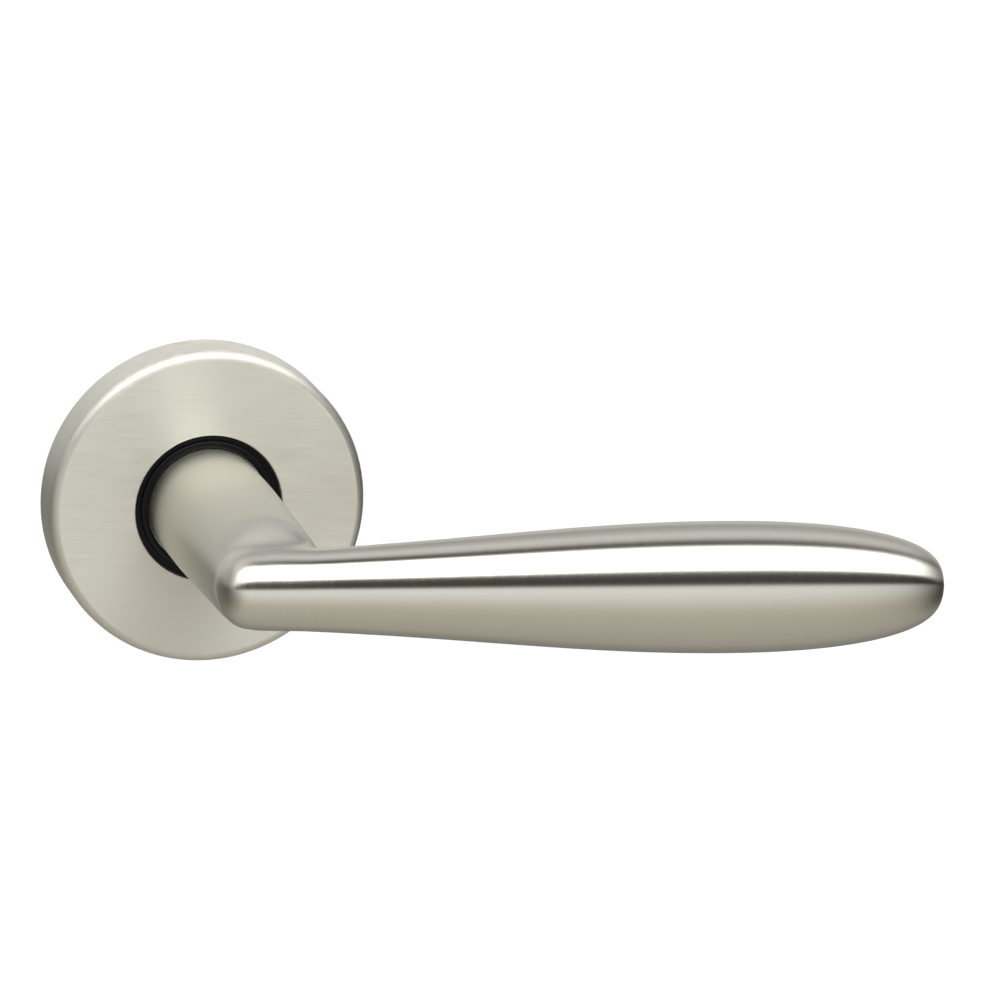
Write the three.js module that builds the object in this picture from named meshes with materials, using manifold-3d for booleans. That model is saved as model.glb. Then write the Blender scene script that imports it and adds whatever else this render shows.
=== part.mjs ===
// A sprung lever handle on a round clip-on rose, for one side of an interior door.
// Millimetres. X runs along the grip, Y into the door, Z up. The origin is on the spindle's axis, in the door's face,
// so everything on the room side has a negative y and everything inside the door has a positive one.
import * as THREE from "three";
import { mergeVertices } from "three/addons/utils/BufferGeometryUtils.js";
import Module from "manifold-3d";

const wasm = await Module();
wasm.setup();

// ---------- driving dimensions ----------
const runningFit = 0.15; // radial play where a piece turns or slides on another
const seatGap = 0.1; // gap between faces that meet

const edgeBreak = 0.4; // chamfer on a turned end
const rose = { radius: 27.5, depth: 9, wall: 1.3, edge: 1.7, lipBreak: 0.2, corner: 0.5 };
const neck = { radius: 10.3, waist: 9.6, straight: 12, dome: 9.5, flatten: 4.5 };
const neckRing = { width: 2.25, recess: 0.25, lip: 1.3, groove: 0.7, grooveOuter: 0.4 };
const grip = {
  reach: 59.6, // door face to the grip's centreline
  end: 5.5, // how far the rounding of the grip's near end runs along it
  endPower: 2.4,
  throat: 1.2, // from the neck's side and the grip's back to the point the elbow's sections turn about
  blend: 2.5, // width of the fillet between neck and grip
  root: 5.5, // half height that the swelling rises from
  belly: { x: 76.8, half: 11.1 },
  swell: 59, // how far along the grip the swelling spreads
  tip: 114.6, // spindle axis to the end of the grip
  tipPower: 2.2, // roundness of the end, along the grip and across it
  tipRoot: 3,
  depthShare: 0.88, // the oval's depth as a share of its height
};
const spigot = { radius: 8, flatDepth: 1, flatLength: 1.7, past: 0.65 };
const spindle = { side: 7.9, play: 0.15, front: -27, back: 58, chamfer: 0.8 };
const grub = { radius: 2.9, play: 0.1, sink: 1.25, y: -16, socket: 3, socketDepth: 2.4 };
const bolt = { radius: 1.95, play: 0.2, head: 3.6, headDepth: 2.2, end: 20, washer: 4.2, washerThick: 0.6 };
const screw = { radius: 1.2, play: 0.1, head: 2.3, headDepth: 1.3, room: 1.7, embed: 1.6 };
const base = {
  plate: 2.4,
  clipRoom: 0.8, // between the rim and the inside of the cover's wall
  rimWall: 1.8,
  frontRoom: 1.5, // between the rim and the inside of the cover's face
  boltPitch: 38,
  lugWall: 1.85,
  lugLength: 6,
  sideHole: 2.1, // for two screws straight into the door
  reliefRoom: 0.4, // round the washers, so that they need no clearance in the door's face
  reliefDepth: 0.3,
};
const bush = { wall: 1.65, flange: 0.4, flangeThick: 0.5 };
const spring = { play: 0.4, wire: 1, coilGap: 0.235, startAngle: 200, tang: 1.2 };
const driver = { rim: 1.3, thick: 1, dogAngle: 180, dogHalf: 10 };
const housing = { play: 0.5, wall: 1, ear: 3.4, earThick: 0.8, postAngle: 14 };
const turnLimit = 45; // degrees that the lever turns down
const stopPlay = 0.6; // degrees of air left at each stop
const clip = { wire: 0.9, fromRim: 1.8, gapAngle: 28 };
const circlip = { thick: 1, stand: 1.7, grooveDepth: 0.7, play: 0.1, gapAngle: 34, ear: 1.5, earHole: 0.55 };
const backWasher = { width: 2.6, thick: 0.6 };
const waveWasher = { width: 2.2, thick: 0.35 };

// ---------- sizes that follow ----------
const shoulder = -rose.depth + rose.wall + seatGap; // the neck steps down to its spigot just behind the cover's face
const ringInner = neck.radius + runningFit;
const ringOuter = ringInner + neckRing.width;
const roseHole = ringOuter + seatGap;
const spindleHole = spindle.side + 2 * spindle.play;
const flatRadius = spigot.radius - spigot.flatDepth;
const bushOuter = spigot.radius + runningFit + bush.wall;
const bushFlange = bushOuter + bush.flange;
const baseRadius = rose.radius - rose.wall - base.clipRoom;
const rimDepth = rose.depth - rose.wall - base.frontRoom;
const lugRadius = bolt.radius + bolt.play + base.lugWall;
const clipY = -rimDepth + clip.fromRim;
const driverFront = shoulder + seatGap;
const driverBack = driverFront + driver.thick;
const springCoil = bushFlange + spring.play + spring.wire / 2;
const springBack = -base.plate - seatGap - spring.wire / 2;
const springFront = driverBack + seatGap + spring.wire / 2;
const springTurns = (springBack - springFront) / (spring.wire + spring.coilGap);
const driverRadius = springCoil + spring.wire / 2 + driver.rim;
const housingInner = driverRadius + housing.play;
const housingOuter = housingInner + housing.wall;
const dogReach = housingOuter - seatGap;
const screwRing = housingOuter + screw.head + screw.room;
const washerFront = -base.plate - seatGap - bolt.washerThick;
const boltTop = washerFront - seatGap - bolt.headDepth;
const waveWasherOuter = spigot.radius + waveWasher.width;
const backWasherOuter = spigot.radius + backWasher.width;
const backWasherY = 2 * seatGap + waveWasher.thick;
const circlipY = backWasherY + backWasher.thick + 2 * seatGap;
const grooveRadius = spigot.radius - circlip.grooveDepth;
const spigotEnd = circlipY + circlip.thick + spigot.past;
const grubTip = spindle.side / 2 + seatGap; // below the axis
const grubLength = neck.radius - grub.sink - grubTip;

const ROUND = 48; // facets of a large round piece
const MEDIUM = 36; // facets of a washer or the circlip
const SMALL = 20; // facets of a screw or a bolt
const HOLE = 12; // facets of a pin hole

// ---------- colours ----------
const finish = (color, metalness, roughness) => new THREE.MeshStandardMaterial({ color, metalness, roughness });
const satinNickel = finish(0xc9c6bb, 1, 0.34);
const blackNylon = finish(0x151516, 0, 0.45);
const greyNylon = finish(0x3a3b3d, 0, 0.6);
const zincSteel = finish(0xb9bcc0, 1, 0.35);
const springSteel = finish(0x6c6a66, 1, 0.3);
const blackSteel = finish(0x2a2a2b, 1, 0.5);

// ---------- shape helpers ----------
const rad = THREE.MathUtils.degToRad;
const at = (radius, degrees) => [radius * Math.cos(rad(degrees)), radius * Math.sin(rad(degrees))];

// A closed mesh as a solid, turned the right way out.
function solid(geometry) {
  const bare = geometry.clone();
  bare.deleteAttribute("normal");
  bare.deleteAttribute("uv");
  const merged = mergeVertices(bare, 1e-4);
  const triVerts = new Uint32Array(merged.index.array);
  const build = () =>
    new wasm.Manifold(new wasm.Mesh({ numProp: 3, vertProperties: merged.attributes.position.array, triVerts }));
  const made = build();
  if (made.volume() > 0) return made;
  for (let i = 0; i < triVerts.length; i += 3) [triVerts[i], triVerts[i + 1]] = [triVerts[i + 1], triVerts[i]];
  return build();
}

// A profile of [radius, y] pairs turned about the spindle's axis. It closes on itself.
function turned(profile, facets = ROUND) {
  const points = [...profile, profile[0]].map(([r, y]) => new THREE.Vector2(r, y));
  return solid(new THREE.LatheGeometry(points, facets));
}

const ring = (inner, outer, y0, y1, facets) =>
  turned([[inner, y0], [outer, y0], [outer, y1], [inner, y1]], facets);

// A cylinder along Y from y0 to y1, with its axis through x, z.
function rod(radius, y0, y1, x = 0, z = 0, facets = SMALL) {
  const geometry = new THREE.CylinderGeometry(radius, radius, y1 - y0, facets);
  return solid(geometry.translate(x, (y0 + y1) / 2, z));
}

function block(width, depth, height, x, y, z) {
  return solid(new THREE.BoxGeometry(width, depth, height).translate(x, y, z));
}

// A flat outline drawn in X and Z, given its thickness from y0 to y1.
function plate(shape, y0, y1, curveSegments = 24) {
  const geometry = new THREE.ExtrudeGeometry(shape, { depth: y1 - y0, bevelEnabled: false, curveSegments });
  const stand = new THREE.Matrix4().makeBasis(
    new THREE.Vector3(1, 0, 0),
    new THREE.Vector3(0, 0, 1),
    new THREE.Vector3(0, 1, 0),
  );
  return solid(geometry.applyMatrix4(stand).translate(0, y0, 0));
}

// Wire of a round section along a curve.
function wire(curve, radius, steps, sides = 8) {
  const section = new THREE.Shape().absarc(0, 0, radius, 0, Math.PI * 2);
  const options = { extrudePath: curve, steps, curveSegments: sides };
  return solid(new THREE.ExtrudeGeometry(section, options));
}

function sector(radius, from, to) {
  const shape = new THREE.Shape();
  shape.moveTo(0, 0);
  shape.lineTo(...at(radius, from));
  shape.absarc(0, 0, radius, rad(from), rad(to), false);
  shape.closePath();
  return shape;
}

const parts = new THREE.Group();

function addPart(name, made, material) {
  const mesh = made.getMesh();
  const geometry = new THREE.BufferGeometry();
  geometry.setAttribute("position", new THREE.BufferAttribute(mesh.vertProperties.slice(), 3));
  geometry.setIndex(new THREE.BufferAttribute(mesh.triVerts.slice(), 1));
  geometry.computeVertexNormals();
  const part = new THREE.Mesh(geometry, material);
  part.name = name;
  parts.add(part);
}

// ---------- lever: neck, bend and grip in one casting ----------
// Half the grip's height at a distance x from the spindle's axis.
function gripHalf(x) {
  const { root, belly, swell, tip, tipPower, tipRoot } = grip;
  if (x <= belly.x) return root + (belly.half - root) * Math.exp(-(((belly.x - x) / swell) ** 2));
  const past = Math.min(1, (x - belly.x) / (tip - belly.x));
  return belly.half * (1 - past ** tipPower) ** (1 / tipRoot);
}

const smooth = (t) => t * t * (3 - 2 * t);

// The neck and the grip as fields: nought on the surface, negative inside, and in millimetres near the surface.
const throatX = neck.waist + grip.throat;
const gripBack = gripHalf(throatX) * grip.depthShare - grip.reach;
const pivot = new THREE.Vector2(throatX, gripBack + grip.throat);

// A round bar, slimmer towards its front end, which is flattened to the grip's height, domed, and sits inside it.
function neckField(x, y, z) {
  const straightEnd = shoulder - neck.straight;
  const share = Math.min(1, Math.max(0, (straightEnd - y) / (straightEnd - pivot.y)));
  const radius = neck.radius + (neck.waist - neck.radius) * smooth(share);
  const flatFrom = gripBack + neck.flatten;
  const flat = Math.min(1, Math.max(0, (flatFrom - y) / (flatFrom + grip.reach)));
  const high = radius + (gripHalf(throatX) - radius) * smooth(flat);
  const past = Math.max(0, gripBack - y) / neck.dome;
  return (Math.hypot(x / radius, z / high, past) - 1) * high;
}

// An oval bar along +X, rounded at its near end level with the neck's side.
function gripField(x, y, z) {
  const high = gripHalf(x);
  const oval = Math.hypot((y + grip.reach) / (high * grip.depthShare), z / high);
  const past = Math.max(0, grip.end - neck.waist - x) / grip.end;
  return ((oval ** grip.endPower + past ** grip.endPower) ** (1 / grip.endPower) - 1) * high;
}

function leverField(x, y, z) {
  const toNeck = neckField(x, y, z);
  const toGrip = gripField(x, y, z);
  const near = Math.max(0, grip.blend - Math.abs(toNeck - toGrip));
  return Math.min(toNeck, toGrip) - near ** 2 / (4 * grip.blend);
}

// Where the lever's sections lie: each one's centre, and how far it has turned from across the neck to across the
// grip. In the elbow they fan out from the pivot at its inside.
function leverStations() {
  const stations = [];
  const neckSteps = 5;
  const elbowSteps = 12;
  const gripSteps = 18;
  for (let i = 0; i < neckSteps; i++) {
    stations.push({ x: 0, y: shoulder + ((pivot.y - shoulder) * i) / neckSteps, turn: 0 });
  }
  for (let i = 0; i < elbowSteps; i++) {
    const round = ((i / elbowSteps) * Math.PI) / 2;
    const away = new THREE.Vector2(pivot.x * Math.cos(round), (pivot.y + grip.reach) * Math.sin(round));
    stations.push({ x: pivot.x - away.x, y: pivot.y - away.y, turn: away.angle() });
  }
  for (let i = 0; i < gripSteps; i++) {
    const share = Math.sin(((i / gripSteps) * Math.PI) / 2);
    stations.push({ x: pivot.x + (grip.tip - pivot.x) * share, y: -grip.reach, turn: Math.PI / 2 });
  }
  return stations;
}

// The distance from a point inside the lever to its surface, one way.
function toSurface(x, y, wayX, wayY, wayZ) {
  const halvings = 24;
  let inside = 0;
  let outside = 16;
  for (let i = 0; i < halvings; i++) {
    const middle = (inside + outside) / 2;
    if (leverField(x + wayX * middle, y + wayY * middle, wayZ * middle) < 0) inside = middle;
    else outside = middle;
  }
  return inside;
}

// Lofts the sections at the stations, with a flat cap on the shoulder and a point at the grip's end.
function leverBody(sides = 24) {
  const stations = leverStations();
  const positions = [0, shoulder, 0];
  for (const { x, y, turn } of stations) {
    for (let k = 0; k < sides; k++) {
      const around = (k / sides) * Math.PI * 2;
      const way = [Math.cos(around) * Math.cos(turn), Math.cos(around) * Math.sin(turn), Math.sin(around)];
      const reach = toSurface(x, y, ...way);
      positions.push(x + way[0] * reach, y + way[1] * reach, way[2] * reach);
    }
  }
  positions.push(grip.tip, -grip.reach, 0);
  const last = positions.length / 3 - 1;
  const index = [];
  const vertex = (row, k) => 1 + row * sides + (k % sides);
  for (let k = 0; k < sides; k++) {
    index.push(0, vertex(0, k), vertex(0, k + 1));
    for (let row = 0; row + 1 < stations.length; row++) {
      const [a, b, c, d] = [vertex(row, k), vertex(row, k + 1), vertex(row + 1, k), vertex(row + 1, k + 1)];
      index.push(a, c, b, b, c, d);
    }
    index.push(last, vertex(stations.length - 1, k + 1), vertex(stations.length - 1, k));
  }
  const geometry = new THREE.BufferGeometry();
  geometry.setAttribute("position", new THREE.Float32BufferAttribute(positions, 3));
  geometry.setIndex(index);
  return solid(geometry);
}

function makeLever() {
  const grooveHalf = circlip.thick / 2 + circlip.play;
  const grooveMiddle = circlipY + circlip.thick / 2;
  const overlap = 1; // how far the spigot runs into the neck, and a cut runs out of the metal
  const spigotSolid = turned([
    [0, shoulder - overlap],
    [spigot.radius, shoulder - overlap],
    [spigot.radius, grooveMiddle - grooveHalf],
    [grooveRadius, grooveMiddle - grooveHalf],
    [grooveRadius, grooveMiddle + grooveHalf],
    [spigot.radius, grooveMiddle + grooveHalf],
    [spigot.radius, spigotEnd - edgeBreak],
    [spigot.radius - edgeBreak, spigotEnd],
    [0, spigotEnd],
  ]);
  const socketFront = spindle.front - overlap;
  const socketBack = spigotEnd + overlap;
  const socketMiddle = (socketFront + socketBack) / 2;
  const socket = block(spindleHole, socketBack - socketFront, spindleHole, 0, socketMiddle, 0);
  let lever = leverBody().add(spigotSolid).subtract(socket);
  for (const side of [-1, 1]) {
    const waste = spigot.flatDepth + overlap;
    const x = side * (flatRadius + waste / 2);
    const y = shoulder + spigot.flatLength / 2;
    lever = lever.subtract(block(waste, spigot.flatLength, spigot.radius * 2, x, y, 0));
  }
  const drilled = new THREE.CylinderGeometry(grub.radius + grub.play, grub.radius + grub.play, neck.radius * 2, SMALL);
  drilled.rotateX(Math.PI / 2).translate(0, grub.y, -neck.radius);
  return lever.subtract(solid(drilled));
}

// ---------- rose cover and the black ring in its hole ----------
function edgeArc(radius, cornerRadius, cornerY, steps = 4) {
  const points = [];
  for (let i = 0; i <= steps; i++) {
    const turn = (i / steps) * (Math.PI / 2);
    points.push([
      cornerRadius - radius + radius * Math.cos(turn),
      cornerY + radius - radius * Math.sin(turn),
    ]);
  }
  return points;
}

function makeRoseCover() {
  const inside = rose.radius - rose.wall;
  return turned(
    [
      [inside, 0],
      [rose.radius, 0],
      ...edgeArc(rose.edge, rose.radius, -rose.depth),
      [roseHole + rose.lipBreak, -rose.depth],
      [roseHole, -rose.depth + rose.lipBreak],
      [roseHole, -rose.depth + rose.wall],
      [inside - rose.corner, -rose.depth + rose.wall],
      [inside, -rose.depth + rose.wall + rose.corner],
    ],
    60,
  );
}

// The ring guides the neck. Outside its rounded lip a groove runs round, which reads as a dark line.
function makeNeckRing() {
  const front = -rose.depth + neckRing.recess;
  const back = -rose.depth + rose.wall;
  const lip = ringInner + neckRing.lip;
  const grooveOuter = ringOuter - neckRing.grooveOuter;
  const rounding = neckRing.lip / 3;
  return turned([
    [ringInner, back],
    [ringInner, front + rounding],
    [ringInner + rounding, front],
    [lip - rounding, front],
    [lip, front + rounding],
    [lip, front + neckRing.groove],
    [grooveOuter, front + neckRing.groove],
    [grooveOuter, front + rounding],
    [ringOuter, front + rounding],
    [ringOuter, back],
  ]);
}

// ---------- carrier plate behind the rose ----------
const boltAngles = { upper: 90, lower: 270 };
const screwAngles = [45, 135, 225, 315];
const tangPlay = 0.25; // round each end of the return spring, in its hole

const springEndAngle = spring.startAngle + springTurns * 360;

function makeRoseBase() {
  const rimInner = baseRadius - base.rimWall;
  const grooveHalf = clip.wire / 2 + seatGap;
  const grooveFloor = baseRadius - clip.wire / 2;
  const bore = bushOuter + seatGap;
  const relief = backWasherOuter + base.reliefRoom;
  let plateSolid = turned([
    [bore, -base.reliefDepth],
    [relief, -base.reliefDepth],
    [relief, 0],
    [baseRadius, 0],
    [baseRadius, clipY + grooveHalf],
    [grooveFloor, clipY + grooveHalf],
    [grooveFloor, clipY - grooveHalf],
    [baseRadius, clipY - grooveHalf],
    [baseRadius, -rimDepth + edgeBreak],
    [baseRadius - edgeBreak, -rimDepth],
    [rimInner, -rimDepth],
    [rimInner, -base.plate],
    [bore, -base.plate],
  ]);
  const front = -base.plate - 1;
  for (const angle of Object.values(boltAngles)) {
    const [x, z] = at(base.boltPitch / 2, angle);
    plateSolid = plateSolid
      .add(rod(lugRadius, -base.plate / 2, base.lugLength, x, z))
      .subtract(rod(bolt.radius + bolt.play, front, base.lugLength + 1, x, z));
  }
  for (const angle of screwAngles) {
    const [x, z] = at(screwRing, angle);
    const bottom = -base.plate + screw.embed + 2 * seatGap;
    plateSolid = plateSolid.subtract(rod(screw.radius + screw.play, front, bottom, x, z));
  }
  for (const side of [-1, 1]) {
    plateSolid = plateSolid.subtract(rod(base.sideHole, front, 1, (side * base.boltPitch) / 2, 0));
  }
  const [tangX, tangZ] = at(springCoil, spring.startAngle);
  return plateSolid.subtract(rod(spring.wire / 2 + tangPlay, front, 1, tangX, tangZ, HOLE));
}

function makeBearingBush() {
  const inner = spigot.radius + runningFit;
  const flangeBack = -base.plate - seatGap;
  return turned([
    [inner, 0],
    [bushOuter, 0],
    [bushOuter, flangeBack],
    [bushFlange, flangeBack],
    [bushFlange, flangeBack - bush.flangeThick],
    [inner, flangeBack - bush.flangeThick],
  ]);
}

function makeClipRing() {
  const middle = baseRadius + seatGap / 2;
  const half = clip.gapAngle / 2;
  const points = [];
  for (let i = 0; i <= ROUND; i++) {
    const [x, z] = at(middle, half + ((360 - clip.gapAngle) * i) / ROUND);
    points.push(new THREE.Vector3(x, clipY, z));
  }
  return wire(new THREE.CatmullRomCurve3(points), clip.wire / 2, ROUND, 3);
}

// ---------- spring cassette ----------
function makeSpringHousing() {
  const back = -base.plate - seatGap;
  const wallFront = driverBack + 2 * seatGap;
  const bore = () => rod(housingInner, driverFront - 1, back + 1, 0, 0, ROUND);
  let cup = ring(housingInner, housingOuter, back, wallFront);
  for (const angle of screwAngles) {
    const [x, z] = at(screwRing, angle);
    const [rootX, rootZ] = at(housing.ear, angle + 90);
    const [endX, endZ] = at(housing.ear * 0.9, angle + 90);
    const [innerX, innerZ] = at(housingInner + housing.wall / 2, angle);
    const ear = new THREE.Shape();
    ear.moveTo(innerX + rootX, innerZ + rootZ);
    ear.lineTo(innerX - rootX, innerZ - rootZ);
    ear.lineTo(x - endX, z - endZ);
    ear.absarc(x, z, housing.ear * 0.9, rad(angle - 90), rad(angle + 90), false);
    ear.closePath();
    cup = cup.add(plate(ear, back - housing.earThick, back, 10));
    cup = cup.subtract(rod(screw.radius + runningFit, back - housing.earThick - 1, back + 1, x, z, HOLE));
  }
  cup = cup.subtract(bore());
  for (const angle of Object.values(boltAngles)) {
    const [x, z] = at(base.boltPitch / 2, angle);
    cup = cup.subtract(rod(bolt.washer + 2 * runningFit, boltTop - 2 * seatGap, back + 1, x, z));
  }
  const dogEdge = driver.dogHalf + stopPlay;
  const turnedEdge = driver.dogAngle - dogEdge - turnLimit;
  const stops = [
    [driver.dogAngle + dogEdge, driver.dogAngle + dogEdge + housing.postAngle],
    [turnedEdge - housing.postAngle, turnedEdge],
  ];
  for (const [from, to] of stops) {
    const post = plate(sector(housingOuter, from, to), driverFront + seatGap, wallFront + housing.wall / 2);
    cup = cup.add(post.subtract(bore()));
  }
  return cup;
}

function makeSpringDriver() {
  let disc = ring(spigot.radius + runningFit, driverRadius, driverFront, driverBack);
  const keyHalf = flatRadius + runningFit;
  const overlap = 1; // how far the keys and the dog run into the disc
  for (const side of [-1, 1]) {
    const corner = Math.sqrt(spigot.radius ** 2 - keyHalf ** 2) + overlap * 1.4;
    const root = side * (spigot.radius + overlap);
    const key = new THREE.Shape();
    key.moveTo(side * keyHalf, -corner);
    key.lineTo(root, -corner);
    key.lineTo(root, corner);
    key.lineTo(side * keyHalf, corner);
    key.closePath();
    disc = disc.add(plate(key, driverFront, driverBack));
  }
  const dogShape = sector(dogReach, driver.dogAngle - driver.dogHalf, driver.dogAngle + driver.dogHalf);
  const middle = rod(driverRadius - overlap / 2, driverFront - 1, driverBack + 1, 0, 0, ROUND);
  disc = disc.add(plate(dogShape, driverFront, driverBack).subtract(middle));
  const [tangX, tangZ] = at(springCoil, springEndAngle);
  return disc.subtract(rod(spring.wire / 2 + tangPlay, driverFront - 1, driverBack + 1, tangX, tangZ, HOLE));
}

// A torsion spring: one tang runs into the carrier plate, the other into the driver.
function makeReturnSpring() {
  const points = [];
  const put = (degrees, y) => {
    const [x, z] = at(springCoil, degrees);
    points.push(new THREE.Vector3(x, y, z));
  };
  put(spring.startAngle, springBack + spring.tang + 2 * seatGap);
  put(spring.startAngle, springBack + spring.tang / 2);
  const count = 60;
  const lead = THREE.MathUtils.radToDeg(spring.wire / springCoil); // from a tang to where the coil starts
  const sweep = springEndAngle - spring.startAngle - 2 * lead;
  for (let i = 0; i <= count; i++) {
    put(spring.startAngle + lead + (sweep * i) / count, springBack + ((springFront - springBack) * i) / count);
  }
  put(springEndAngle, springFront - spring.tang / 2);
  put(springEndAngle, springFront - spring.tang);
  const curve = new THREE.CatmullRomCurve3(points, false, "centripetal");
  const steps = Math.ceil(curve.getLength() / (1.5 * spring.wire));
  return wire(curve, spring.wire / 2, steps, 4);
}

// ---------- washers and circlip behind the plate ----------
function makeCirclip() {
  const inner = grooveRadius + circlip.play;
  const outer = spigot.radius + circlip.stand;
  const half = circlip.gapAngle / 2;
  const down = -90;
  const shape = new THREE.Shape();
  shape.absarc(0, 0, outer, rad(down + half), rad(down - half + 360), false);
  shape.absarc(0, 0, inner, rad(down - half + 360), rad(down + half), true);
  shape.closePath();
  const back = circlipY + circlip.thick;
  let made = plate(shape, circlipY, back, MEDIUM / 2);
  for (const side of [-1, 1]) {
    const [x, z] = at((inner + outer) / 2, down + side * (half + 4));
    made = made.add(rod(circlip.ear, circlipY, back, x, z, SMALL));
    made = made.subtract(rod(circlip.earHole, circlipY - 1, back + 1, x, z, HOLE));
  }
  return made.subtract(rod(inner, circlipY - 1, back + 1, 0, 0, ROUND));
}

// ---------- spindle, grub screw and fixings ----------
function makeSpindle() {
  const half = spindle.side / 2;
  const cut = spindle.chamfer;
  const bar = new THREE.LatheGeometry(
    [
      [0, spindle.front],
      [half - cut, spindle.front],
      [half, spindle.front + cut],
      [half, spindle.back - cut],
      [half - cut, spindle.back],
      [0, spindle.back],
    ].map(([r, y]) => new THREE.Vector2(r * Math.SQRT2, y)),
    4,
    Math.PI / 4,
  );
  return solid(bar);
}

function makeGrubScrew() {
  const cup = 1; // narrower by this at the end that bites the spindle
  const body = new THREE.LatheGeometry(
    [
      [0, 0],
      [grub.radius - cup, 0],
      [grub.radius, cup * 0.8],
      [grub.radius, grubLength - edgeBreak],
      [grub.radius - edgeBreak, grubLength],
      [0, grubLength],
    ].map(([r, y]) => new THREE.Vector2(r, y)),
    SMALL,
  );
  const across = grub.socket / Math.sqrt(3);
  const key = new THREE.CylinderGeometry(across, across, grub.socketDepth * 2, 6);
  key.translate(0, grubLength, 0);
  const place = (geometry) => solid(geometry.rotateX(-Math.PI / 2).translate(0, grub.y, -grubTip));
  return place(body).subtract(place(key));
}

function crossRecess(x, z, y, span, depth) {
  const bar = span / 4;
  return block(span, depth * 2, bar, x, y, z).add(block(bar, depth * 2, span, x, y, z));
}

function panScrew(x, z, seatY, size) {
  const { radius, head, headDepth, end } = size;
  const top = seatY - headDepth;
  const made = turned(
    [
      [0, top],
      [head * 0.62, top],
      [head * 0.9, top + headDepth * 0.25],
      [head, top + headDepth * 0.6],
      [head, seatY],
      [radius, seatY],
      [radius, end - edgeBreak],
      [radius - edgeBreak, end],
      [0, end],
    ],
    SMALL,
  ).translate([x, 0, z]);
  return made.subtract(crossRecess(x, z, top, head * 1.1, headDepth * 0.6));
}

// ---------- assembly ----------
addPart("rose_cover", makeRoseCover(), satinNickel);
addPart("neck_ring", makeNeckRing(), blackNylon);

addPart("lever", makeLever(), satinNickel);
addPart("spring_driver", makeSpringDriver(), zincSteel);
const washerBore = spigot.radius + runningFit;
const backWasherEnd = backWasherY + backWasher.thick;
addPart("wave_washer", ring(washerBore, waveWasherOuter, seatGap, backWasherY - seatGap, MEDIUM), springSteel);
addPart("back_washer", ring(washerBore, backWasherOuter, backWasherY, backWasherEnd, MEDIUM), zincSteel);
addPart("circlip", makeCirclip(), springSteel);
addPart("spindle", makeSpindle(), zincSteel);
addPart("grub_screw", makeGrubScrew(), blackSteel);

addPart("rose_base", makeRoseBase(), greyNylon);
addPart("bearing_bush", makeBearingBush(), blackNylon);
addPart("clip_ring", makeClipRing(), springSteel);
addPart("spring_housing", makeSpringHousing(), zincSteel);
addPart("return_spring", makeReturnSpring(), springSteel);

for (const [place, angle] of Object.entries(boltAngles)) {
  const [x, z] = at(base.boltPitch / 2, angle);
  const washerBack = washerFront + bolt.washerThick;
  const washer = ring(bolt.radius + bolt.play, bolt.washer, washerFront, washerBack, SMALL).translate([x, 0, z]);
  addPart(`bolt_washer_${place}`, washer, zincSteel);
  addPart(`through_bolt_${place}`, panScrew(x, z, washerFront - seatGap, bolt), zincSteel);
}

screwAngles.forEach((angle, i) => {
  const [x, z] = at(screwRing, angle);
  const seat = -base.plate - 2 * seatGap - housing.earThick;
  addPart(`housing_screw_${i + 1}`, panScrew(x, z, seat, { ...screw, end: -base.plate + screw.embed }), zincSteel);
});

export default parts;
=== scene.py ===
# Sprung door lever on a round rose: surfaces, finishes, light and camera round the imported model.
import math

import bmesh
import bpy
from mathutils import Matrix, Vector


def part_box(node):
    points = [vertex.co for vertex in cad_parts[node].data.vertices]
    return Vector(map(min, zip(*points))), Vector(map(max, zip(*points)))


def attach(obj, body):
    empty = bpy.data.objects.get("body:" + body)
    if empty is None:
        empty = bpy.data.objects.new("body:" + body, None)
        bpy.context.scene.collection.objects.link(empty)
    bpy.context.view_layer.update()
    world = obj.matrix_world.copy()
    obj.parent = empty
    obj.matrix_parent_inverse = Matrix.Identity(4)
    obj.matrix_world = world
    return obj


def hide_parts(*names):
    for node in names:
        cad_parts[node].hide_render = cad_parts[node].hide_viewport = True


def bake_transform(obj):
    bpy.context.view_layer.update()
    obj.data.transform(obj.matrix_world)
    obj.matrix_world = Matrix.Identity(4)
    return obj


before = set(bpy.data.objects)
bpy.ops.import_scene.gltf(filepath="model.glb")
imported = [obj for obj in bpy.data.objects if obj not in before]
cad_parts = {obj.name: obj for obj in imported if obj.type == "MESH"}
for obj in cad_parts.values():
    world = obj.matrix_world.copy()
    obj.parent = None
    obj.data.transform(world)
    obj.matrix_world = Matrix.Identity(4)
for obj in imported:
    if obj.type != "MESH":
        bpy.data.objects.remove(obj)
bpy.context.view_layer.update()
print("frame loaded:", len(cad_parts), "nodes")

mm = 0.001
fullTurn = 2 * math.pi
merging = {"same": 1e-7, "cut": 4e-6, "sliver": 2e-6}  # metres
overrun = 1  # how far a cutter runs out of what it cuts, in millimetres


# Helpers for meshes.
def newObject(name, data):
    piece = bpy.data.objects.new(name, data)
    bpy.context.scene.collection.objects.link(piece)
    return piece


def meshObject(name, points, faces):
    mesh = bpy.data.meshes.new(name)
    mesh.from_pydata([tuple(p) for p in points], [], faces)
    mesh.update()
    return newObject(name, mesh)


def applyModifiers(piece):
    graph = bpy.context.evaluated_depsgraph_get()
    mesh = bpy.data.meshes.new_from_object(piece.evaluated_get(graph), depsgraph=graph)
    piece.modifiers.clear()
    old = piece.data
    piece.data = mesh
    mesh.name = piece.name
    if old.users == 0:
        bpy.data.meshes.remove(old)
    return piece


def combine(piece, tool, operation):
    cutter = piece.modifiers.new("combine", "BOOLEAN")
    cutter.operation = operation
    cutter.solver = "EXACT"
    cutter.object = tool
    applyModifiers(piece)
    bpy.data.objects.remove(tool)
    return piece


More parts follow.
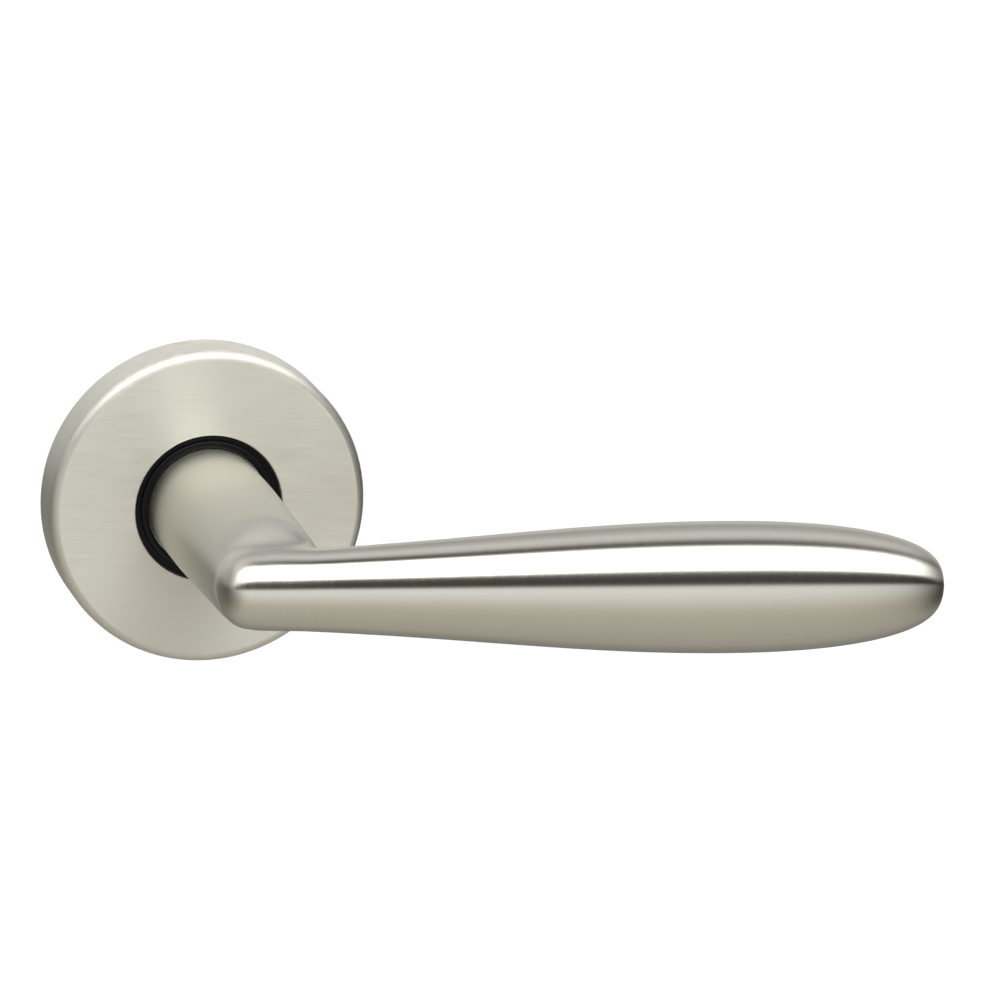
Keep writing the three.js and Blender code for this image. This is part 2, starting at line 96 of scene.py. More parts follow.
def facesOutward(piece):
    mesh = bmesh.new()
    mesh.from_mesh(piece.data)
    bmesh.ops.remove_doubles(mesh, verts=mesh.verts, dist=merging["same"])
    bmesh.ops.recalc_face_normals(mesh, faces=mesh.faces)
    mesh.to_mesh(piece.data)
    mesh.free()
    return piece


# Cuts leave slivers and many-sided faces: these are merged and split up.
def cleanMesh(piece):
    mesh = bmesh.new()
    mesh.from_mesh(piece.data)
    for _ in range(2):
        bmesh.ops.remove_doubles(mesh, verts=mesh.verts, dist=merging["cut"])
        bmesh.ops.dissolve_degenerate(mesh, edges=mesh.edges, dist=merging["sliver"])
        stray = [face for face in mesh.faces if all(edge.is_boundary for edge in face.edges)]
        bmesh.ops.delete(mesh, geom=stray, context="FACES")
        bmesh.ops.holes_fill(mesh, edges=[edge for edge in mesh.edges if edge.is_boundary], sides=0)
        wide = [face for face in mesh.faces if len(face.verts) > 4]
        bmesh.ops.triangulate(mesh, faces=wide, quad_method="BEAUTY", ngon_method="BEAUTY")
    bmesh.ops.recalc_face_normals(mesh, faces=mesh.faces)
    mesh.to_mesh(piece.data)
    mesh.free()
    return piece


def smoothBelow(piece, degrees=32):
    piece.data.shade_smooth()
    piece.data.set_sharp_from_angle(angle=math.radians(degrees))
    return piece


# Corners are (radius, y, fillet) in millimetres. A guard point past each fillet keeps the flats flat.
def roundProfile(corners, steps=6, guard=0.06):
    points = []
    for i, (radius, y, fillet) in enumerate(corners):
        here = Vector((radius, y))
        if not fillet:
            points.append(here)
            continue
        before = Vector(corners[i - 1][:2]) - here
        after = Vector(corners[(i + 1) % len(corners)][:2]) - here
        half = before.angle(after) / 2
        reach = min(fillet / math.tan(half), before.length * 0.45, after.length * 0.45)
        before.normalize()
        after.normalize()
        centre = here + (before + after).normalized() * reach / math.cos(half)
        first = here + before * reach - centre
        last = here + after * reach - centre
        sweep = first.angle(last)
        points.append(here + before * (reach + guard))
        for k in range(steps + 1):
            t = k / steps
            arm = first * math.sin((1 - t) * sweep) + last * math.sin(t * sweep)
            points.append(centre + arm / math.sin(sweep))
        points.append(here + after * (reach + guard))
    return points


# Turns a profile about an axis along Y. It gets poles if its ends are on the axis, and else closes on itself.
def revolve(name, profile, segments=192, centre=(0, 0), shape=None):
    onAxis = profile[0][0] < 1e-6
    rings = profile[1:-1] if onAxis else profile
    points = []
    for radius, y in rings:
        for k in range(segments):
            turn = fullTurn * k / segments
            out, along = shape(radius, y, turn) if shape else (radius, y)
            points.append((centre[0] + out * math.cos(turn), along, centre[1] + out * math.sin(turn)))
    faces = []
    for row in range(len(rings) - (1 if onAxis else 0)):
        nextRow = (row + 1) % len(rings)
        for k in range(segments):
            after = (k + 1) % segments
            here, there = row * segments, nextRow * segments
            faces.append((here + k, here + after, there + after, there + k))
    if onAxis:
        first, last = len(points), len(points) + 1
        points += [(centre[0], profile[0][1], centre[1]), (centre[0], profile[-1][1], centre[1])]
        end = (len(rings) - 1) * segments
        for k in range(segments):
            after = (k + 1) % segments
            faces.append((first, after, k))
            faces.append((last, end + k, end + after))
    piece = meshObject(name, [Vector(p) * mm for p in points], faces)
    return facesOutward(piece)


def rod(name, radius, y0, y1, x=0, z=0, segments=48):
    return revolve(name, [(0, y0), (radius, y0), (radius, y1), (0, y1)], segments, (x, z))


def block(name, size, centre):
    mesh = bmesh.new()
    bmesh.ops.create_cube(mesh, size=1)
    bmesh.ops.scale(mesh, vec=Vector(size) * mm, verts=mesh.verts)
    bmesh.ops.translate(mesh, vec=Vector(centre) * mm, verts=mesh.verts)
    data = bpy.data.meshes.new(name)
    mesh.to_mesh(data)
    mesh.free()
    return newObject(name, data)


def finishPiece(piece, body, slotName, nodes, *materials):
    if materials:
        piece.data.materials.clear()
        for material in materials:
            piece.data.materials.append(material)
    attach(piece, body)
    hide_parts(*nodes)
    return piece


# Helpers for nodes.
def addNode(tree, kind, inputs=None, **settings):
    node = tree.nodes.new(kind)
    for key, value in settings.items():
        setattr(node, key, value)
    for key, value in (inputs or {}).items():
        socket = node.inputs[key]
        if isinstance(value, bpy.types.NodeSocket):
            tree.links.new(value, socket)
        else:
            socket.default_value = value
    return node


def maths(tree, operation, *values, clamp=False):
    inputs = dict(enumerate(values))
    return addNode(tree, "ShaderNodeMath", inputs, operation=operation, use_clamp=clamp).outputs[0]


def addSockets(tree, sockets):
    for direction, kind, name, value in sockets:
        socket = tree.interface.new_socket(name=name, in_out=direction, socket_type=kind)
        if value is not None:
            socket.default_value = value


# Effects shared by several finishes.
# Fine lines along X of the given vector, with softer patches under them.
def buildBrushGrain():
    tree = bpy.data.node_groups.new("brushGrain", "ShaderNodeTree")
    addSockets(
        tree,
        [
            ("INPUT", "NodeSocketVector", "Vector", None),
            ("INPUT", "NodeSocketFloat", "Line Length", 0.012),
            ("INPUT", "NodeSocketFloat", "Line Pitch", 0.0002),
            ("INPUT", "NodeSocketFloat", "Patch Size", 0.006),
            ("OUTPUT", "NodeSocketFloat", "Lines", None),
            ("OUTPUT", "NodeSocketFloat", "Patches", None),
        ],
    )
    given = tree.nodes.new("NodeGroupInput")
    along = maths(tree, "DIVIDE", 1.0, given.outputs["Line Length"])
    across = maths(tree, "DIVIDE", 1.0, given.outputs["Line Pitch"])
    scale = addNode(tree, "ShaderNodeCombineXYZ", {"X": along, "Y": across, "Z": across}).outputs[0]
    stretched = addNode(
        tree, "ShaderNodeVectorMath", {0: given.outputs["Vector"], 1: scale}, operation="MULTIPLY"
    ).outputs[0]
    fine = {"Vector": stretched, "Scale": 1.0, "Detail": 3.0, "Roughness": 0.6}
    lines = addNode(tree, "ShaderNodeTexNoise", fine)
    patchScale = maths(tree, "DIVIDE", 1.0, given.outputs["Patch Size"])
    patches = addNode(
        tree, "ShaderNodeTexNoise", {"Vector": given.outputs["Vector"], "Scale": patchScale, "Detail": 2.0}
    )
    result = tree.nodes.new("NodeGroupOutput")
    tree.links.new(lines.outputs["Fac"], result.inputs["Lines"])
    tree.links.new(patches.outputs["Fac"], result.inputs["Patches"])
    return tree


brushGrain = buildBrushGrain()
lineNoise = {"low": 0.3, "high": 0.7}


def newMaterial(name):
    material = bpy.data.materials.new(name)
    material.use_nodes = True
    tree = material.node_tree
    shader = tree.nodes["Principled BSDF"]
    return material, tree, shader


# The lines' noise stays near its middle, so that part is stretched over the whole spread of roughness.
def linedRoughness(tree, grain, look):
    least, most = look["roughness"] - look["spread"], look["roughness"] + look["spread"]
    ranged = {"Value": grain.outputs["Lines"], 1: lineNoise["low"], 2: lineNoise["high"], 3: least, 4: most}
    return addNode(tree, "ShaderNodeMapRange", ranged).outputs[0]


def linedBump(tree, grain, look):
    height = {"Height": grain.outputs["Lines"], "Strength": look["bump"], "Distance": look["lineDepth"]}
    return addNode(tree, "ShaderNodeBump", height).outputs[0]


# Satin nickel: lines run along one direction of the surface, and gloss stretches across them.
def satinNickel(name, look, vectorOf):
    material, tree, shader = newMaterial(name)
    grain = addNode(tree, "ShaderNodeGroup", {}, node_tree=brushGrain)
    tree.links.new(vectorOf(tree), grain.inputs["Vector"])
    for key in ("Line Length", "Line Pitch", "Patch Size"):
        grain.inputs[key].default_value = look[key]
    tone = addNode(
        tree,
        "ShaderNodeMix",
        {"Factor": grain.outputs["Lines"], 6: look["dark"], 7: look["light"]},
        data_type="RGBA",
    )
    patchiness = look["patchiness"]
    patchTone = maths(tree, "MULTIPLY_ADD", grain.outputs["Patches"], patchiness, 1 - patchiness / 2)
    patchGrey = addNode(tree, "ShaderNodeCombineXYZ", {"X": patchTone, "Y": patchTone, "Z": patchTone})
    shade = addNode(
        tree, "ShaderNodeVectorMath", {0: tone.outputs[2], 1: patchGrey.outputs[0]}, operation="MULTIPLY"
    )
    tree.links.new(shade.outputs[0], shader.inputs["Base Color"])
    shader.inputs["Metallic"].default_value = 1.0
    tree.links.new(linedRoughness(tree, grain, look), shader.inputs["Roughness"])
    shader.inputs["Anisotropic"].default_value = look["anisotropy"]
    tangent = addNode(tree, "ShaderNodeTangent", {}, direction_type="UV_MAP", uv_map="along")
    tree.links.new(tangent.outputs[0], shader.inputs["Tangent"])
    tree.links.new(linedBump(tree, grain, look), shader.inputs["Normal"])
    return material


def objectVector(tree, turn=(0, 0, 0)):
    place = addNode(tree, "ShaderNodeTexCoord").outputs["Object"]
    return addNode(tree, "ShaderNodeMapping", {"Vector": place, "Rotation": turn}).outputs[0]


# Lever: neck, elbow and grip, in millimetres.
lever = {
    "reach": 59.6,  # door to the grip's centreline
    "shoulder": -7.6,
    "neckRadius": 10.3,
    "neckWaist": 9.6,
    "neckStraight": 12,
    "neckDome": 9.5,  # length of the neck's rounded end, inside the grip
    "neckFlatten": 4.5,  # where its height starts to shrink to the grip's, behind that end
    "endLength": 5.5,  # the rounding of the grip's near end, along it
    "endPower": 2.4,
    "throat": 1.2,  # from the neck's side and the grip's back to the point the elbow's sections turn about
    "blend": 2.5,  # width of the fillet between neck and grip
    "root": 5.5,  # half height that the swelling rises from
    "bellyAt": 76.8,
    "bellyHalf": 11.1,
    "swell": 59,
    "tipPower": 2.2,
    "tipRoot": 3,
    "depthShare": 0.88,
    "tipCrowding": 3,  # the stations crowd towards the tip
    "spigotRadius": 8,
    "spigotOverlap": 2,
    "spigotEdge": 0.4,
    "spigotFlat": 7,
    "spigotFlatLength": 1.7,
    "grooveRadius": 7.3,
    "grooveFrom": 1.25,
    "grooveTo": 2.45,
    "spindleHole": 8.2,
    "spindleHoleDepth": -28,
    "grubHole": 3,
    "grubAt": -16,
    "around": 96,
    "neckSteps": 36,
    "elbowSteps": 72,
    "gripSteps": 90,
    "tipSteps": 60,
    "farthest": 16,  # further than the skin is from any station's centre
    "halvings": 20,
    "mapScale": 0.1,  # metres along the lever for one unit of its map
}
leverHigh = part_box("lever")[1] / mm
lever["tip"] = leverHigh.x
lever["spigotEnd"] = leverHigh.y


def gripHalf(x):
    if x <= lever["bellyAt"]:
        away = (lever["bellyAt"] - x) / lever["swell"]
        return lever["root"] + (lever["bellyHalf"] - lever["root"]) * math.exp(-away * away)
    past = min(1, (x - lever["bellyAt"]) / (lever["tip"] - lever["bellyAt"]))
    return lever["bellyHalf"] * max(0, 1 - past ** lever["tipPower"]) ** (1 / lever["tipRoot"])


def smoothStep(t):
    return t * t * (3 - 2 * t)


lever["throatX"] = lever["neckWaist"] + lever["throat"]
lever["throatHalf"] = gripHalf(lever["throatX"])
lever["gripBack"] = lever["throatHalf"] * lever["depthShare"] - lever["reach"]
lever["pivotY"] = lever["gripBack"] + lever["throat"]


# The neck and the grip as fields: nought on the surface and negative inside.
def neckField(x, y, z):
    straightEnd = lever["shoulder"] - lever["neckStraight"]
    share = min(1, max(0, (straightEnd - y) / (straightEnd - lever["pivotY"])))
    radius = lever["neckRadius"] + (lever["neckWaist"] - lever["neckRadius"]) * smoothStep(share)
    flatFrom = lever["gripBack"] + lever["neckFlatten"]
    flat = min(1, max(0, (flatFrom - y) / (flatFrom + lever["reach"])))
    high = radius + (lever["throatHalf"] - radius) * smoothStep(flat)
    past = max(0, lever["gripBack"] - y) / lever["neckDome"]
    return (math.hypot(x / radius, z / high, past) - 1) * high


def gripField(x, y, z):
    high = gripHalf(x)
    oval = math.hypot((y + lever["reach"]) / (high * lever["depthShare"]), z / high)
    past = max(0, lever["endLength"] - lever["neckWaist"] - x) / lever["endLength"]
    power = lever["endPower"]
    return ((oval**power + past**power) ** (1 / power) - 1) * high


def leverField(x, y, z):
    toNeck = neckField(x, y, z)
    toGrip = gripField(x, y, z)
    near = max(0, lever["blend"] - abs(toNeck - toGrip))
    return min(toNeck, toGrip) - near * near / (4 * lever["blend"])


# The distance from a point inside the lever to its surface, one way, by halving.
def toSurface(x, y, way):
    inside, outside = 0, lever["farthest"]
    for _ in range(lever["halvings"]):
        middle = (inside + outside) / 2
        if leverField(x + way[0] * middle, y + way[1] * middle, way[2] * middle) < 0:
            inside = middle
        else:
            outside = middle
    return inside


# Each station is a section's centre and how far it has turned from across the neck to across the grip.
# In the elbow the sections fan out from a pivot at its inside.
def leverStations():
    pivotX, pivotY = lever["throatX"], lever["pivotY"]
    stations = []
    for i in range(lever["neckSteps"]):
        stations.append((0, lever["shoulder"] + (pivotY - lever["shoulder"]) * i / lever["neckSteps"], 0))
    for i in range(lever["elbowSteps"]):
        angle = math.pi / 2 * i / lever["elbowSteps"]
        awayX, awayY = pivotX * math.cos(angle), (pivotY + lever["reach"]) * math.sin(angle)
        stations.append((pivotX - awayX, pivotY - awayY, math.atan2(awayY, awayX)))
    belly, gripSteps, tipSteps = lever["bellyAt"], lever["gripSteps"], lever["tipSteps"]
    places = [pivotX + (belly - pivotX) * i / gripSteps for i in range(gripSteps)]
    for i in range(tipSteps):
        share = 1 - (1 - i / tipSteps) ** lever["tipCrowding"]
        places.append(belly + (lever["tip"] - belly) * share)
    return stations + [(x, -lever["reach"], math.pi / 2) for x in places]


def makeLeverSkin():
    stations = leverStations()
    around = lever["around"]
    points = []
    travel = [0.0]
    for i, (x, y, turn) in enumerate(stations):
        if i:
            travel.append(travel[-1] + math.hypot(x - stations[i - 1][0], y - stations[i - 1][1]))
        for k in range(around):
            angle = fullTurn * k / around
            way = (math.cos(angle) * math.cos(turn), math.cos(angle) * math.sin(turn), math.sin(angle))
            far = toSurface(x, y, way)
            points.append((x + way[0] * far, y + way[1] * far, way[2] * far))
    butt = len(points)
    points.append((0, lever["shoulder"], 0))
    points.append((lever["tip"], -lever["reach"], 0))
    faces = []
    corners = []
    for row in range(len(stations) - 1):
        for k in range(around):
            after = (k + 1) % around
            here, there = row * around, (row + 1) * around
            faces.append((here + k, there + k, there + after, here + after))
            near, far = travel[row], travel[row + 1]
            corners += [(near, k), (far, k), (far, k + 1), (near, k + 1)]
    last = (len(stations) - 1) * around
    for k in range(around):
        after = (k + 1) % around
        faces.append((butt, k, after))
        corners += [(-lever["neckRadius"], k + 0.5), (0, k), (0, k + 1)]
        faces.append((butt + 1, last + after, last + k))
        corners += [(travel[-1] + 0.5, k + 0.5), (travel[-1], k + 1), (travel[-1], k)]
    piece = meshObject("lever_casting", [Vector(p) * mm for p in points], faces)
    layer = piece.data.uv_layers.new(name="along")
    for loop, (distance, k) in zip(layer.data, corners):
        loop.uv = (distance * mm / lever["mapScale"], k / around)
    return piece


# Turns a piece made along +Y to point down from a place on the spindle's axis, and drops it.
def downAt(y, drop):
    return Matrix.Translation((0, y * mm, -drop * mm)) @ Matrix.Rotation(-math.pi / 2, 4, "X")


def makeLever(material):
    piece = makeLeverSkin()
    end = lever["spigotEnd"]
    start = lever["shoulder"] - lever["spigotOverlap"]
    radius, edge = lever["spigotRadius"], lever["spigotEdge"]
    spigot = revolve(
        "spigot",
        [
            (0, start),
            (radius, start),
            (radius, lever["grooveFrom"]),
            (lever["grooveRadius"], lever["grooveFrom"]),
            (lever["grooveRadius"], lever["grooveTo"]),
            (radius, lever["grooveTo"]),
            (radius, end - edge),
            (radius - edge, end),
            (0, end),
        ],
        96,
    )
    spigot.data.uv_layers.new(name="along")
    combine(piece, spigot, "UNION")
    hole = lever["spindleHole"]
    depth = end + overrun - lever["spindleHoleDepth"]
    combine(piece, block("socket", (hole, depth, hole), (0, end + overrun - depth / 2, 0)), "DIFFERENCE")
    for side in (-1, 1):
        length = lever["spigotFlatLength"]
        centre = (side * (lever["spigotFlat"] + overrun), lever["shoulder"] + length / 2, 0)
        combine(piece, block("flat", (2 * overrun, length, 2 * radius), centre), "DIFFERENCE")
    drill = rod("drill", lever["grubHole"], 0, lever["neckRadius"] * 2)
    drill.data.transform(downAt(lever["grubAt"], 0))
    combine(piece, drill, "DIFFERENCE")
    smoothBelow(cleanMesh(piece), 35)
    return finishPiece(piece, "lever", "satin_nickel", ["lever"], material)


leverLook = {
    "Line Length": 0.006,
    "Line Pitch": 0.00016,
    "Patch Size": 0.009,
    "dark": (0.71, 0.69, 0.61, 1),
    "light": (0.81, 0.79, 0.71, 1),
    "patchiness": 0.04,
    "roughness": 0.25,
    "spread": 0.02,
    "anisotropy": 0.95,
    "bump": 0.1,
    "lineDepth": 0.00002,
}


def splitVector(tree, vector):
    return addNode(tree, "ShaderNodeSeparateXYZ", {"Vector": vector}).outputs


def flatVector(tree, x, y):
    return addNode(tree, "ShaderNodeCombineXYZ", {"X": x, "Y": y, "Z": 0.0}).outputs[0]


def leverVector(tree):
    way = splitVector(tree, addNode(tree, "ShaderNodeUVMap", {}, uv_map="along").outputs[0])
    place = splitVector(tree, addNode(tree, "ShaderNodeTexCoord").outputs["Object"])
    return flatVector(tree, place["Z"], maths(tree, "MULTIPLY", way["X"], lever["mapScale"]))


leverNickel = satinNickel("satin nickel, lever", leverLook, leverVector)
makeLever(leverNickel)
print("lever made")

# Rose cover.
rose = {
    "wall": 1.3,
    "edge": 1.7,  # radius of the rolled edge
    "hole": 12.8,
    "rim": 0.15,  # radius of the back's corners
    "lipBreak": 0.2,
    "lipBack": 0.1,
    "corner": 0.5,
    "flatNormal": 0.995,  # faces that look forward at least this much are the face, the rest is wall
    "mapScale": 0.1,
}
roseLow, roseHigh = (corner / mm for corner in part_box("rose_cover"))
rose["radius"] = roseHigh.x
rose["depth"] = -roseLow.y

roseFaceLook = {
    "Line Length": 0.009,
    "Line Pitch": 0.0003,
    "Patch Size": 0.02,
    "dark": (0.71, 0.70, 0.62, 1),
    "light": (0.88, 0.87, 0.79, 1),
    "patchiness": 0.06,
    "roughness": 0.46,
    "spread": 0.08,
    "anisotropy": 0.75,
    "bump": 0.4,
    "lineDepth": 0.00002,
}
roseWallLook = dict(roseFaceLook, roughness=0.4, anisotropy=0.4, bump=0.2)


# The face's lines run level, so its map is laid flat. The wall's lines run round it, and so does its map.
def makeRoseCover(faceMaterial, wallMaterial):
    inside = rose["radius"] - rose["wall"]
    front = -rose["depth"]
    profile = roundProfile(
        [
            (rose["radius"], 0, rose["rim"]),
            (rose["radius"], front, rose["edge"]),
            (rose["hole"], front, rose["lipBreak"]),
            (rose["hole"], front + rose["wall"], rose["lipBack"]),
            (inside, front + rose["wall"], rose["corner"]),
            (inside, 0, rose["rim"]),
        ],
        10,
    )
    piece = revolve("rose_cover_shell", profile, 256)
    layer = piece.data.uv_layers.new(name="along")
    mesh, scale = piece.data, rose["mapScale"]
    for face in mesh.polygons:
        flat = abs(face.normal.y) > rose["flatNormal"]
        face.material_index = 0 if flat else 1
        around = math.atan2(face.center.z, face.center.x)
        for loop in face.loop_indices:
            point = mesh.vertices[mesh.loops[loop].vertex_index].co
            if flat:
                layer.data[loop].uv = (point.z / scale, point.x / scale)
            else:
                turn = math.atan2(point.z, point.x)
                turn += fullTurn if turn - around < -math.pi else -fullTurn if turn - around > math.pi else 0
                layer.data[loop].uv = ((point.y - math.hypot(point.x, point.z)) / scale, turn)
    smoothBelow(piece, 40)
    return finishPiece(piece, "cover", "satin_nickel", ["rose_cover"], faceMaterial, wallMaterial)


def roseWallVector(tree):
    place = splitVector(tree, addNode(tree, "ShaderNodeTexCoord").outputs["Object"])
    turn = maths(tree, "ARCTAN2", place["Z"], place["X"])
    return flatVector(tree, maths(tree, "MULTIPLY", turn, rose["radius"] * mm), place["Y"])


roseFaceNickel = satinNickel("satin nickel, rose face", roseFaceLook, objectVector)
roseWallNickel = satinNickel("satin nickel, rose wall", roseWallLook, roseWallVector)
makeRoseCover(roseFaceNickel, roseWallNickel)
print("rose cover made")

# Black ring in the cover's hole.
neckRing = {
    "play": 0.15,  # round the neck
    "seat": 0.1,  # in the cover's hole
    "recess": 0.25,
    "lip": 1.3,
    "lipInner": 0.55,  # radii of the lip's two edges
    "lipOuter": 0.62,
    "groove": 0.7,
    "grooveOuter": 0.4,
    "grooveCorner": 0.05,
    "outerDrop": 0.35,
    "outerEdge": 0.08,
    "back": 0.1,
}


def makeNeckRing(material):
    inner = lever["neckRadius"] + neckRing["play"]
    outer = rose["hole"] - neckRing["seat"]
    front = -rose["depth"] + neckRing["recess"]
    back = -rose["depth"] + rose["wall"]
    lip = inner + neckRing["lip"]
    wallStart = outer - neckRing["grooveOuter"]
    floor, wallTop = front + neckRing["groove"], front + neckRing["outerDrop"]
    profile = roundProfile(
        [
            (inner, back, neckRing["back"]),
            (inner, front, neckRing["lipInner"]),
            (lip, front, neckRing["lipOuter"]),
            (lip, floor, neckRing["grooveCorner"]),
            (wallStart, floor, neckRing["grooveCorner"]),
            (wallStart, wallTop, neckRing["outerEdge"]),
            (outer, wallTop, neckRing["outerEdge"]),
            (outer, back, neckRing["back"]),
        ],
        8,
        0.02,
    )
    piece = revolve("neck_ring_moulding", profile, 192)
    smoothBelow(piece, 40)
    return finishPiece(piece, "cover", "black_nylon", ["neck_ring"], material)


moulded = {"specular": 0.2, "darker": 0.85, "lighter": 1.15, "detail": 3.0, "grainDepth": 0.00005}


def mouldedPlastic(name, color, roughness, grainSize, bumpStrength):
    material, tree, shader = newMaterial(name)
    shader.inputs["Specular IOR Level"].default_value = moulded["specular"]
    place = addNode(tree, "ShaderNodeTexCoord").outputs["Object"]
    cloud = {"Vector": place, "Scale": 1 / grainSize, "Detail": moulded["detail"]}
    noise = addNode(tree, "ShaderNodeTexNoise", cloud)
    dark, light = ((*[part * moulded[key] for part in color], 1) for key in ("darker", "lighter"))
    mixed = {"Factor": noise.outputs["Fac"], 6: dark, 7: light}
    tone = addNode(tree, "ShaderNodeMix", mixed, data_type="RGBA")
    tree.links.new(tone.outputs[2], shader.inputs["Base Color"])
    least, most = roughness * moulded["darker"], roughness * moulded["lighter"]
    rough = addNode(tree, "ShaderNodeMapRange", {"Value": noise.outputs["Fac"], 3: least, 4: most})
    tree.links.new(rough.outputs[0], shader.inputs["Roughness"])
    height = {"Height": noise.outputs["Fac"], "Strength": bumpStrength, "Distance": moulded["grainDepth"]}
    bump = addNode(tree, "ShaderNodeBump", height)
    tree.links.new(bump.outputs[0], shader.inputs["Normal"])
    return material


blackNylon = mouldedPlastic("black nylon", (0.002, 0.002, 0.0025), 0.3, 0.0006, 0.05)
makeNeckRing(blackNylon)
print("neck ring made")

# Helpers for plates, wire and threads.
def polar(radius, degrees):
    return radius * math.cos(math.radians(degrees)), radius * math.sin(math.radians(degrees))


def arcPoints(radius, start, end, steps, centre=(0, 0)):
    points = []
    for i in range(steps + 1):
        x, z = polar(radius, start + (end - start) * i / steps)
        points.append((centre[0] + x, centre[1] + z))
    return points


# Moves an outline in by a distance, each corner along the middle of its two sides.
def insetOutline(outline, distance):
    area = sum(a[0] * b[1] - b[0] * a[1] for a, b in zip(outline, outline[1:] + outline[:1]))
    sign = 1 if area > 0 else -1
    moved = []
    for i, (x, z) in enumerate(outline):
        before = Vector((x - outline[i - 1][0], z - outline[i - 1][1])).normalized()
        after = outline[(i + 1) % len(outline)]
        onward = Vector((after[0] - x, after[1] - z)).normalized()
        along = (before + onward).normalized()
        reach = distance / max(0.5, math.sqrt((1 + before.dot(onward)) / 2))
        moved.append((x - along.y * sign * reach, z + along.x * sign * reach))
    return moved


# A flat outline in X and Z with its thickness from y0 to y1, and its edges broken if asked.
def plate(name, outline, y0, y1, edge=0):
    count = len(outline)
    layers = [(outline, y0), (outline, y1)]
    if edge:
        inner = insetOutline(outline, edge)
        layers = [(inner, y0), (outline, y0 + edge), (outline, y1 - edge), (inner, y1)]
    points = [(x, y, z) for line, y in layers for x, z in line]
    last = (len(layers) - 1) * count
    faces = [tuple(range(count)), tuple(range(last + count - 1, last - 1, -1))]
    for row in range(len(layers) - 1):
        for i in range(count):
            after = (i + 1) % count
            here, there = row * count, (row + 1) * count
            faces.append((here + i, here + after, there + after, there + i))
    return facesOutward(meshObject(name, [Vector(p) * mm for p in points], faces))


def ringSector(inner, outer, start, end, steps=24):
    return arcPoints(inner, start, end, steps) + arcPoints(outer, end, start, steps)


def softenEdges(piece, width, segments=2, degrees=40):
    edges = piece.modifiers.new("edges", "BEVEL")
    edges.width = width * mm
    edges.segments = segments
    edges.limit_method = "ANGLE"
    edges.angle_limit = math.radians(degrees)
    edges.use_clamp_overlap = True
    edges.harden_normals = False
    return applyModifiers(piece)


# Round wire along a path of points, made by Geometry Nodes.
def buildWireTree():
    tree = bpy.data.node_groups.new("wireOnPath", "GeometryNodeTree")
    addSockets(
        tree,
        [
            ("INPUT", "NodeSocketGeometry", "Path", None),
            ("INPUT", "NodeSocketFloat", "Wire Radius", 0.0005),
            ("INPUT", "NodeSocketInt", "Sides", 16),
            ("INPUT", "NodeSocketMaterial", "Finish", None),
            ("OUTPUT", "NodeSocketGeometry", "Wire", None),
        ],
    )
    given = tree.nodes.new("NodeGroupInput")
    path = addNode(tree, "GeometryNodeMeshToCurve", {"Mesh": given.outputs["Path"]})
    section = addNode(
        tree,
        "GeometryNodeCurvePrimitiveCircle",
        {"Resolution": given.outputs["Sides"], "Radius": given.outputs["Wire Radius"]},
    )
    swept = addNode(
        tree,
        "GeometryNodeCurveToMesh",
        {"Curve": path.outputs[0], "Profile Curve": section.outputs[0], "Fill Caps": True},
    )
    real = addNode(tree, "GeometryNodeRealizeInstances", {"Geometry": swept.outputs[0]})
    finished = addNode(
        tree, "GeometryNodeSetMaterial", {"Geometry": real.outputs[0], "Material": given.outputs["Finish"]}
    )
    result = tree.nodes.new("NodeGroupOutput")
    tree.links.new(finished.outputs[0], result.inputs["Wire"])
    return tree


# Copies of one fastener at every point of a mesh.
def buildCopiesTree():
    tree = bpy.data.node_groups.new("fastenersAtPoints", "GeometryNodeTree")
    addSockets(
        tree,
        [
            ("INPUT", "NodeSocketGeometry", "Points", None),
            ("INPUT", "NodeSocketObject", "Fastener", None),
            ("INPUT", "NodeSocketFloat", "Turn Spread", 1.0),
            ("INPUT", "NodeSocketInt", "Seed", 4),
            ("INPUT", "NodeSocketMaterial", "Finish", None),
            ("OUTPUT", "NodeSocketGeometry", "Fasteners", None),
        ],
    )
    given = tree.nodes.new("NodeGroupInput")
    fastener = {"Object": given.outputs["Fastener"], "As Instance": True}
    source = addNode(tree, "GeometryNodeObjectInfo", fastener)
    turned = {2: 0.0, 3: given.outputs["Turn Spread"], "Seed": given.outputs["Seed"]}
    spread = addNode(tree, "FunctionNodeRandomValue", turned)
    turn = addNode(tree, "ShaderNodeCombineXYZ", {"Y": spread.outputs[1]})
    copies = addNode(
        tree,
        "GeometryNodeInstanceOnPoints",
        {
            "Points": given.outputs["Points"],
            "Instance": source.outputs["Geometry"],
            "Rotation": turn.outputs[0],
        },
    )
    real = addNode(tree, "GeometryNodeRealizeInstances", {"Geometry": copies.outputs[0]})
    finished = addNode(
        tree, "GeometryNodeSetMaterial", {"Geometry": real.outputs[0], "Material": given.outputs["Finish"]}
    )
    result = tree.nodes.new("NodeGroupOutput")
    tree.links.new(finished.outputs[0], result.inputs["Fasteners"])
    return tree


def runTree(piece, tree, values):
    modifier = piece.modifiers.new(tree.name, "NODES")
    modifier.node_group = tree
    for item in tree.interface.items_tree:
        if item.item_type == "SOCKET" and item.in_out == "INPUT" and item.name in values:
            modifier[item.identifier] = values[item.name]
    return applyModifiers(piece)


wireTree = buildWireTree()
copiesTree = buildCopiesTree()


def wirePiece(name, path, radius, sides, material):
    mesh = bpy.data.meshes.new(name)
    mesh.from_pydata([Vector(p) * mm for p in path], [(i, i + 1) for i in range(len(path) - 1)], [])
    piece = newObject(name, mesh)
    runTree(piece, wireTree, {"Wire Radius": radius * mm, "Sides": sides, "Finish": material})
    return smoothBelow(facesOutward(piece), 50)


threads = {"stepsPerTurn": 10, "flats": 0.25, "onCrest": 1e-6}


def threadOf(size, start, end):
    thread = {"from": start, "to": end, "depth": size["threadDepth"]}
    return {**thread, "radius": size["radius"], "pitch": size["pitch"]}


